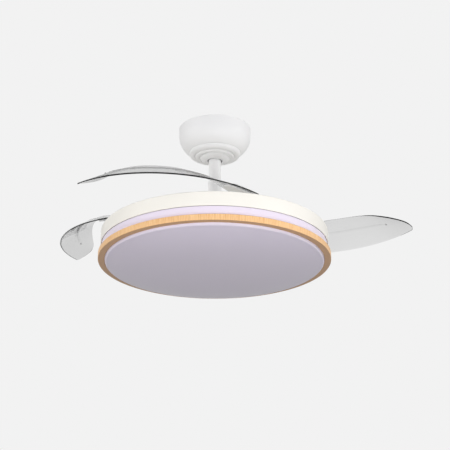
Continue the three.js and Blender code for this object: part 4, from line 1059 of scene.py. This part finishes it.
@dataclass
class SickleBlade:
    """Twisted, cambered and ribbed clear blade in its pivot's frame. Sizes in millimetres."""

    length: float = 395.7
    thickness: float = 3.0
    outer_radius: float = 255.0
    inner_radius: float = 287.0
    outer_root: Pair = (8.0, 21.0)
    inner_root: Pair = (29.0, -29.0)
    inner_tip: Pair = (360.0, -32.0)
    root_corner: float = 12.0
    outer_tip_corner: float = 8.0
    inner_tip_corner: float = 36.0
    root_level: float = -217.0
    tip_rise: float = 27.4
    rise_power: float = 1.06
    pitch: tuple[Pair, ...] = ((0, 0), (0.12, 10), (0.35, 27), (0.6, 32), (0.82, 31), (1, 17))
    camber: float = 3.0
    camber_start: float = 0.3
    rib_chord: float = 0.54
    rib_half_width: float = 0.05
    rib_height: float = 1.2
    rib_span: Pair = (0.2, 0.86)
    rib_run_out: float = 0.03
    edge_width: float = 70.0
    edge_ease: float = 1.2
    edge_share: float = 0.45

    @staticmethod
    def edge(s: float, first: Pair, last: Pair, radius: float) -> Vector:
        """Finds a place on an edge, a plan arc between two points.

        Args:
            s: Share from the first point to the last.
            first: Where the edge starts.
            last: Where it ends.
            radius: Radius of the arc.

        Returns:
            The place in plan.
        """
        (x0, y0), (x1, y1) = first, last
        chord = math.hypot(x1 - x0, y1 - y0)
        back = math.sqrt(radius ** 2 - (chord / 2) ** 2)
        cx = (x0 + x1) / 2 + (y1 - y0) / chord * back
        cy = (y0 + y1) / 2 - (x1 - x0) / chord * back
        start, end = math.atan2(y0 - cy, x0 - cx), math.atan2(y1 - cy, x1 - cx)
        a = start + (end - start) * s
        return Vector((cx + radius * math.cos(a), cy + radius * math.sin(a)))

    def chord_line(self, s: float) -> tuple[Vector, Vector]:
        """Returns the convex edge's place at a lengthwise share and the way to the concave one."""
        convex = self.edge(s, self.outer_root, (self.length, 0.0), self.outer_radius)
        return convex, self.edge(s, self.inner_root, self.inner_tip, self.inner_radius) - convex

    def pitch_at(self, s: float) -> float:
        """Smooths the pitch through the stations.

        Args:
            s: Share from root to tip.

        Returns:
            The pitch in degrees.
        """
        last = len(self.pitch) - 1
        k = next((i for i, (place, _) in enumerate(self.pitch) if place >= s), last) - 1
        k = min(max(k, 0), last - 1)
        (s0, p0), (s1, p1) = self.pitch[k], self.pitch[k + 1]

        def slope(i: int) -> float:
            """Returns the slope through a station's neighbours."""
            a, b = self.pitch[max(i - 1, 0)], self.pitch[min(i + 1, last)]
            return (b[1] - a[1]) / (b[0] - a[0])

        h = s1 - s0
        u = (s - s0) / h
        return ((2 * u ** 3 - 3 * u ** 2 + 1) * p0 + (u ** 3 - 2 * u ** 2 + u) * h * slope(k)
                + (3 * u ** 2 - 2 * u ** 3) * p1 + (u ** 3 - u ** 2) * h * slope(k + 1))

    def surface(self, s: float, t: float) -> Vector:
        """Returns a point of the middle surface.

        Args:
            s: Share from root to tip.
            t: Share from the convex to the concave edge.

        Returns:
            The point in the pivot's frame, in millimetres.
        """
        convex, across = self.chord_line(s)
        low = self.root_level + self.tip_rise * s ** self.rise_power
        lift = across.length * math.tan(math.radians(self.pitch_at(s))) * t
        grow = min(s / self.camber_start, 1)
        x, y = convex + across * t
        return Vector((x, y, low + lift + self.camber * grow * 4 * t * (1 - t)))

    def reach(self) -> float:
        """Returns the length of the blade along the middle of its chord."""
        points = [self.surface(i / 20, 0.5) for i in range(21)]
        return sum((b.xy - a.xy).length for a, b in zip(points, points[1:]))

    @staticmethod
    def inset(radius: float, distance: float) -> float:
        """Measures how far a round corner cuts in.

        Args:
            radius: The corner's radius.
            distance: Distance from the end.

        Returns:
            The width cut away.
        """
        if distance >= radius:
            return 0.0
        return radius - math.sqrt(max(radius ** 2 - (radius - distance) ** 2, 0.0))

    def limits(self, s: float) -> Pair:
        """Finds the chord shares between which the blade has material.

        Args:
            s: Share from root to tip.

        Returns:
            The first and last share.
        """
        chord = self.chord_line(s)[1].length
        from_tip = (1 - s) * self.reach_length
        root = self.inset(self.root_corner, s * self.reach_length)
        return (max(root, self.inset(self.outer_tip_corner, from_tip)) / chord,
                1 - max(root, self.inset(self.inner_tip_corner, from_tip)) / chord)

    def rib(self, s: float, t: float) -> float:
        """Measures the stiffening rib at a place.

        Args:
            s: Share from root to tip.
            t: Share from the convex to the concave edge.

        Returns:
            The height above the sheet.
        """
        across = max(1 - abs(t - self.rib_chord) / self.rib_half_width, 0)
        smooth = across * across * (3 - 2 * across)
        start, end = self.rib_span
        run_in, run_out = (min(max(far / self.rib_run_out, 0), 1) for far in (s - start, end - s))
        return self.rib_height * smooth * run_out * run_in

    def stations(self) -> list[float]:
        """Returns lengthwise shares, closer together at the round corners."""
        start = self.root_corner / self.reach_length
        end = self.inner_tip_corner / self.reach_length
        root = [start * (1 - math.cos(math.pi / 2 * i / 5)) for i in range(5)]
        body = [start + (1 - end - start) * i / 60 for i in range(61)]
        tip = [1 - end * (1 - math.cos(math.pi / 2 * i / 18)) for i in range(18)]
        return [*root, *body, *tip[::-1]]

    def __post_init__(self) -> None:
        """Measures the blade once."""
        self.reach_length = self.reach()

    def half_thickness(self, share: float, s: float) -> float:
        """Thins the sheet in a round towards every edge.

        Args:
            share: Share of the chord.
            s: Share from root to tip.

        Returns:
            Half the thickness.
        """
        from_side, from_end = min(share, 1 - share) * self.edge_width, min(s, 1 - s) * self.reach_length
        ease = min(from_side, from_end + 0.15, self.edge_ease) / self.edge_ease
        full = self.edge_share + (1 - self.edge_share) * math.sqrt(1 - (1 - ease) ** 2)
        return self.thickness / 2 * full

    def sheet(self) -> tuple[list[Vector], list[list[int]]]:
        """Returns the blade as points and faces in the pivot's frame, with rounded edges."""
        rows = self.stations()
        c, w = self.rib_chord, self.rib_half_width
        shares = [0.0, 0.008, 0.03, 0.08, 0.16, 0.26, 0.38, c - w, c - w / 2, c, c + w / 2, c + w,
                  0.68, 0.78, 0.87, 0.94, 0.98, 0.992, 1.0]
        top: list[Vector] = []
        bottom: list[Vector] = []
        for s in rows:
            a, b = self.limits(s)
            for share in shares:
                t = a + (b - a) * share
                place = self.surface(s, t)
                thick = self.half_thickness(share, s)
                top.append(place + Vector((0, 0, thick + self.rib(s, t))))
                bottom.append(place - Vector((0, 0, thick)))
        columns, count = len(shares), len(top)
        faces: list[list[int]] = []
        for i in range(len(rows) - 1):
            for j in range(columns - 1):
                a0 = i * columns + j
                faces.append([a0, a0 + 1, a0 + columns + 1, a0 + columns])
                faces.append([count + a0, count + a0 + columns, count + a0 + columns + 1, count + a0 + 1])
            p, q = i * columns, i * columns + columns - 1
            faces.append([p, p + columns, count + p + columns, count + p])
            faces.append([q, count + q, count + q + columns, q + columns])
        for j in range(columns - 1):
            last = (len(rows) - 1) * columns + j
            faces.append([j, count + j, count + j + 1, j + 1])
            faces.append([last, last + 1, count + last + 1, count + last])
        return top + bottom, [f[::-1] for f in faces]


@dataclass
class BladeSet:
    """Three blades with their clamps, arms and pivots. Sizes in millimetres, angles in degrees."""

    blade: SickleBlade = field(default_factory=SickleBlade)
    pivot_radius: float = 162.0
    first_pivot: float = -49.2
    open_angle: float = -75.8
    rest_fold: tuple[float, float, float] = (-52.5, 0.0, 0.0)
    pin_radius: float = 4.0
    pin_head: float = 8.5
    pin_head_height: float = 2.6
    pin_bottom: float = -242.0
    head_bottom: float = -214.7
    screw_places: Pair = (0.06, 0.125)
    screw_chord: float = 0.42
    screw_radius: float = 2.0
    screw_head: float = 5.0
    screw_head_height: float = 2.6
    head_rise: float = 5.7
    screw_drop: float = 4.8
    bead_radius: float = 2.3
    bead_sunk: Pair = (1.2, 0.2)
    lever_edge: float = 0.6
    cap_edge: float = 0.7
    plate_edge: float = 0.5

    def pivot(self, index: int) -> Pair:
        """Returns the plan place of a pivot."""
        a = math.radians(self.first_pivot + 120 * index)
        return self.pivot_radius * math.cos(a), self.pivot_radius * math.sin(a)

    def direction(self, index: int) -> float:
        """Returns a blade's direction in radians."""
        return math.radians(self.first_pivot + 120 * index + self.open_angle + self.rest_fold[index])

    def placed(self, point: Vector, index: int) -> Point:
        """Moves a point from a pivot's frame into the row frame.

        Args:
            point: Point in the pivot's frame, in millimetres.
            index: The blade, from 0.

        Returns:
            The point in metres.
        """
        px, py = self.pivot(index)
        a = self.direction(index)
        return ((px + point.x * math.cos(a) - point.y * math.sin(a)) * MM,
                (py + point.x * math.sin(a) + point.y * math.cos(a)) * MM, point.z * MM)

    def clear_blade(self, index: int) -> Piece:
        """Returns one clear blade."""
        points, faces = self.blade.sheet()
        return new_piece(f"clear_blade_{index + 1}", [self.placed(p, index) for p in points], faces, 50)

    def pin(self, index: int) -> Piece:
        """Makes a pivot pin with a domed head.

        Args:
            index: The blade, from 0.

        Returns:
            The pin.
        """
        r, h = self.pin_head, self.pin_head_height
        foot, head = self.pin_bottom, self.head_bottom
        outline = [(self.pin_radius, foot), (self.pin_radius, head), (r, head), (r, head + h * 0.6),
                   (r * 0.6, head + h)]
        profile = [(0, foot), *eased(outline, 0.5)[1:], (0, head + h)]
        return turned(f"pivot_bolt_{index + 1}", profile, 48, self.pivot(index))

    def screw(self, index: int, number: int) -> Piece:
        """Makes a clamp screw with a domed head.

        Args:
            index: The blade, from 0.
            number: 0 for the inner screw and 1 for the outer.

        Returns:
            The screw.
        """
        place = self.blade.surface(self.screw_places[number], self.screw_chord)
        x, y, _ = self.placed(place, index)
        head = place.z + self.head_rise
        r, h = self.screw_head, self.screw_head_height
        foot = place.z - self.screw_drop
        cap = eased([(r, head), (r, head + h * 0.4), (r * 0.6, head + h)], 0.4)
        profile = [(0, foot), (self.screw_radius, foot), (self.screw_radius, head), *cap, (0, head + h)]
        return turned(f"clamp_screw_{index + 1}{'ab'[number]}", profile, 40, (x / MM, y / MM))

    def bead(self, index: int) -> Piece:
        """Makes the small moulded bead at the outer end of a blade's rib.

        Args:
            index: The blade, from 0.

        Returns:
            The bead.
        """
        place = self.blade.surface(self.blade.rib_span[1], self.blade.rib_chord)
        x, y, _ = self.placed(place, index)
        foot, round_top = (place.z + self.blade.thickness / 2 - sunk for sunk in self.bead_sunk)
        r = self.bead_radius
        profile = [(0, foot), (r, foot), *arc(0, round_top, r, 0, 90, 6)[:-1], (0, round_top + r)]
        return turned(f"rib_bead_{index + 1}", profile, 24, (x / MM, y / MM))

    def build(self, shop: Workshop) -> None:
        """Makes the blades and what carries them, and hands them over.

        Args:
            shop: The workshop that takes the pieces.
        """
        for index, body in enumerate((Body.BLADE_1, Body.BLADE_2, Body.BLADE_3)):
            number = index + 1
            shop.hand_over(self.clear_blade(index), body, Slot.CLEAR_ACRYLIC, f"blade_{number}")
            lever, cap = f"blade_arm_{number}", f"blade_clamp_{number}"
            shop.hand_over(worked_copy(f"blade_lever_{number}", lever, self.lever_edge), body,
                           Slot.WHITE_PAINT, lever, special=Special.COOL_PAINT)
            shop.hand_over(worked_copy(f"blade_cap_{number}", cap, self.cap_edge), body,
                           Slot.WHITE_PLASTIC, cap)
            shop.hand_over(self.pin(index), Body.ROTOR, Slot.STEEL, f"pivot_pin_{number}")
            shop.hand_over(self.bead(index), body, Slot.CLEAR_ACRYLIC)
            for k, letter in enumerate("ab"):
                shop.hand_over(self.screw(index, k), body, Slot.WHITE_PLASTIC,
                               f"blade_screw_{number}{letter}")
        plate = worked_copy("blade_plate", "blade_carrier", self.plate_edge)
        shop.hand_over(plate, Body.ROTOR, Slot.ALUMINIUM, "blade_carrier")


# Lamp


@dataclass
class Lamp:
    """White drum, opal band, wood ring and domed diffuser. Sizes in millimetres."""

    wood_radius: float = 250.0
    wood_width: float = 14.0
    tray_inset: float = 5.3
    band_inset: float = 7.0
    tray_top: float = -247.0
    tray_height: float = 31.5
    tray_wall: float = 1.2
    tray_plate: float = 2.0
    tray_corner: float = 3.0
    tray_edge: float = 0.3
    shaft_bore: float = 8.8
    gap: float = 0.3
    seat: float = 0.05
    band_height: float = 19.5
    band_wall: float = 3.0
    band_edge: float = 0.35
    rebate: Pair = (0.8, 0.5)
    wood_height: float = 13.4
    wood_edge: float = 1.0
    diffuser_wall: float = 2.0
    flange: float = 11.0
    shoulder_drop: float = 5.5
    shoulder_width: float = 5.2
    dome_drop: float = 16.5
    dome_power: float = 3.4
    sides: int = 256

    def __post_init__(self) -> None:
        """Stacks the heights from the drum down, with the band seated against the drum."""
        self.tray_bottom = self.tray_top - self.tray_height
        self.band_top = self.tray_bottom - self.seat
        self.band_bottom = self.tray_bottom - self.gap - self.band_height
        self.wood_top = self.band_bottom - self.gap
        self.wood_bottom = self.wood_top - self.wood_height

    def drum(self) -> Piece:
        """Returns the spun white drum."""
        radius = self.wood_radius - self.tray_inset
        inside = radius - self.tray_wall
        under = self.tray_top - self.tray_plate
        c, e, foot = self.tray_corner, self.tray_edge, self.tray_bottom
        profile = [(self.shaft_bore, self.tray_top), *arc(radius - c, self.tray_top - c, c, 90, 0, 8),
                   (radius, foot + e), (radius - e, foot), (inside, foot),
                   (inside, under - 1), (inside - 1, under), (self.shaft_bore, under)]
        return turned("lamp_drum", profile, self.sides)

    def band(self) -> Piece:
        """Returns the opal band with its rebate."""
        radius = self.wood_radius - self.band_inset
        inner = radius - self.band_wall
        width, height = self.rebate
        foot, top = self.band_bottom, self.band_top
        profile = [(inner, foot), (radius, foot), (radius, top - height), (radius - width, top - height),
                   (radius - width, top), (inner, top)]
        return turned("lamp_side_band", eased(profile, self.band_edge, 3), self.sides)

    def ring(self) -> Piece:
        """Returns the wood ring with eased edges."""
        inner = self.wood_radius - self.wood_width
        e = self.wood_edge
        profile = [(inner + 0.4, self.wood_bottom),
                   *arc(self.wood_radius - e, self.wood_bottom + e, e, -90, 0, 6),
                   *arc(self.wood_radius - e, self.wood_top - e, e, 0, 90, 6),
                   (inner, self.wood_top), (inner, self.wood_bottom + 0.4)]
        return turned("lamp_wood_ring", profile, self.sides)

    def face(self, inset: float, steps: int) -> Profile:
        """Draws the diffuser from its rim to the axis.

        Args:
            inset: Distance inside the outer face.
            steps: Number of parts of the shoulder.

        Returns:
            The profile.
        """
        rim = self.wood_radius - self.wood_width - self.gap - inset
        out: Profile = [(rim, self.wood_bottom + self.flange)]
        for i in range(steps + 1):
            a = math.pi / 2 * i / steps
            out.append((rim - (self.shoulder_width - inset) * (1 - math.cos(a)),
                        self.wood_bottom + 1 - (self.shoulder_drop + 1 - inset) * math.sin(a)))
        edge, level = out[-1]
        rings = steps * 2
        for i in range(1, rings + 1):
            r = edge * (1 - i / rings)
            out.append((r, level - self.dome_drop * (1 - (r / edge) ** self.dome_power)))
        return out

    def diffuser(self) -> Piece:
        """Returns the domed diffuser."""
        profile = [*self.face(0, 14), *self.face(self.diffuser_wall, 8)[::-1]]
        return turned("lamp_diffuser", profile, self.sides, sharp_degrees=60)

    def build(self, shop: Workshop) -> None:
        """Makes the lamp's outer pieces and hands them over.

        Args:
            shop: The workshop that takes the pieces.
        """
        for piece, slot, node in ((self.drum(), Slot.WHITE_PAINT, "lamp_tray"),
                                  (self.band(), Slot.OPAL_ACRYLIC, "light_band"),
                                  (self.ring(), Slot.LIGHT_WOOD, "wood_ring"),
                                  (self.diffuser(), Slot.OPAL_ACRYLIC, "diffuser")):
            shop.hand_over(piece, Body.HANGING, slot, node)


@dataclass
class HiddenFittings:
    """Bracket, boxes and small plates, copied from the CAD with broken edges."""

    bevels: dict[str, tuple[Body, float]] = field(default_factory=lambda: {
        "ceiling_bracket": (Body.CEILING, 0.4),
        "receiver": (Body.CEILING, 0.8),
        "terminal_block": (Body.CEILING, 0.5),
        "led_driver": (Body.HANGING, 0.6),
        "motor_controller": (Body.HANGING, 0.6),
        "lamp_plate": (Body.HANGING, 0.3),
    })

    def build(self, shop: Workshop) -> None:
        """Copies each fitting and hands it over with its own slot.

        Args:
            shop: The workshop that takes the pieces.
        """
        slots = {entry["node"]: entry["material_slot"] for entry in frame["record"]["subparts"]}
        for node, (body, bevel) in self.bevels.items():
            shop.hand_over(worked_copy(f"{node}_piece", node, bevel), body, Slot(slots[node]), node)


# Studio


@dataclass(frozen=True)
class SoftLamp:
    """Soft square lamp that neither shows nor glints. Place and side in metres, power in watts."""

    name: str
    place: Point
    side: float
    power: float
    colour: Colour = (1.0, 1.0, 1.0)

    def hang(self, target: Point) -> None:
        """Hangs the lamp and points it at a target.

        Args:
            target: The point that the lamp faces, in metres.
        """
        data = bpy.data.lights.new(self.name, "AREA")
        data.energy, data.size, data.color = self.power, self.side, self.colour
        made = bpy.data.objects.new(self.name, data)
        made.location = self.place
        made.rotation_mode = "QUATERNION"
        made.rotation_quaternion = (Vector(target) - Vector(self.place)).to_track_quat("-Z", "Y")
        made.visible_camera = made.visible_transmission = made.visible_glossy = False
        bpy.context.scene.collection.objects.link(made)


@dataclass
class Studio:
    """Camera below the fan, plain pale room and soft lamps. Lengths in metres."""

    camera_place: Point = (0.02245, -3.0884, -1.4185)
    camera_rise: float = 0.36828
    focal_pixels: float = 1528.06
    frame_pixels: float = 450.0
    sensor: float = 36.0
    view_end: float = 60.0
    backdrop: Colour = linear(242, 242, 242)
    room: Colour = (0.97, 0.975, 1.0)
    room_strength: float = 0.5
    low_strength: float = 0.16
    horizon: Pair = (-0.3, 0.05)
    floor_bounce: float = 0.25
    floor_glow: float = 0.65
    glow_strength: float = 1.27
    floor_level: float = -3.4
    floor_size: float = 16.0
    middle: Point = (0.0, 0.0, -0.27)
    lamps: tuple[SoftLamp, ...] = (
        SoftLamp("front_soft_lamp", (0.22, -1.3, -1.0), 0.8, 12.8, (0.99, 0.99, 1.0)),
        SoftLamp("left_soft_lamp", (-3.2, -1.0, -0.1), 1.4, 42.0, (1.0, 0.985, 0.97)),
        SoftLamp("right_soft_lamp", (3.2, -1.0, 0.4), 1.4, 40.0, (1.0, 0.99, 0.98)),
        SoftLamp("high_soft_lamp", (0.4, 1.6, 1.6), 1.6, 16.0),
    )

    def camera(self) -> None:
        """Makes the camera at the photograph's viewing angle."""
        data = bpy.data.cameras.new("view_camera")
        data.sensor_width = self.sensor
        data.lens = self.focal_pixels / self.frame_pixels * self.sensor
        data.clip_end = self.view_end
        made = bpy.data.objects.new("view_camera", data)
        made.location = self.camera_place
        made.rotation_euler = (math.pi / 2 + self.camera_rise, 0.0, 0.0)
        bpy.context.scene.collection.objects.link(made)
        bpy.context.scene.camera = made

    def world(self) -> None:
        """Lights the room, dimmer below the horizon, and shows a plain backdrop."""
        world = bpy.data.worlds.new("pale_room")
        bpy.context.scene.world = world
        world.use_nodes = True
        world.node_tree.nodes.clear()
        graph = NodeGraph(world.node_tree)
        room, seen = (graph.node("ShaderNodeBackground", Color=(*colour, 1.0))
                      for colour in (self.room, self.backdrop))
        parts = graph.node("ShaderNodeSeparateXYZ")
        graph.link(graph.node("ShaderNodeTexCoord").outputs["Generated"], parts.inputs[0])
        strength = graph.spread(parts.outputs["Z"], self.low_strength, self.room_strength, *self.horizon)
        graph.link(strength, room.inputs["Strength"])
        out = graph.node("ShaderNodeOutputWorld")
        graph.link(graph.blended(graph.seen_rays(), room, seen).outputs[0], out.inputs["Surface"])

    def floor(self) -> None:
        """Lays a plain pale floor under the fan that keeps a soft shadow."""
        size, level = self.floor_size, self.floor_level
        points = [(-size, -size, level), (size, -size, level), (size, size, level), (-size, size, level)]
        made = new_piece("room_floor", points, [[0, 1, 2, 3]])
        graph = ShaderGraph("room_floor_finish")
        tone = graph.noise(graph.place(), 0.6)
        graph.feed("Base Color", graph.shaded(tone, self.backdrop, 0.97, 1.0))
        graph.set(Roughness=0.9)
        pale = graph.node("ShaderNodeEmission", Color=(*self.backdrop, 1.0), Strength=self.glow_strength)
        dim = graph.node("ShaderNodeBsdfDiffuse", Color=(*[self.floor_bounce] * 3, 1.0))
        seen = graph.blended(self.floor_glow, graph.shader, pale)
        graph.link(graph.blended(graph.seen_rays(), dim, seen).outputs[0], graph.output.inputs["Surface"])
        made.data.materials.append(graph.material)

    def build(self) -> None:
        """Sets the camera, room, floor, lamps and view."""
        self.camera()
        self.world()
        self.floor()
        for lamp in self.lamps:
            lamp.hang(self.middle)
        bpy.context.scene.view_settings.view_transform = "Standard"


# Main


def corners(box: tuple[Vector, Vector]) -> list[list[float]]:
    """Returns a box as two plain lists."""
    return [[round(float(v), 6) for v in corner] for corner in box]


def main() -> None:
    """Builds the fan's looks in order and reports each piece."""
    logging.basicConfig(level=logging.INFO, format="%(message)s")
    finishes = Finishes()
    LOG.info("%d CAD nodes dressed", finishes.dress_nodes())
    shop = Workshop(finishes)
    Canopy().build(shop)
    Drop().build(shop)
    Motor().build(shop)
    BladeSet().build(shop)
    Lamp().build(shop)
    HiddenFittings().build(shop)
    Studio().build()
    LOG.info("%d pieces made", len(shop.made))
    bpy.context.view_layer.update()


if __name__ == "__main__":
    main()
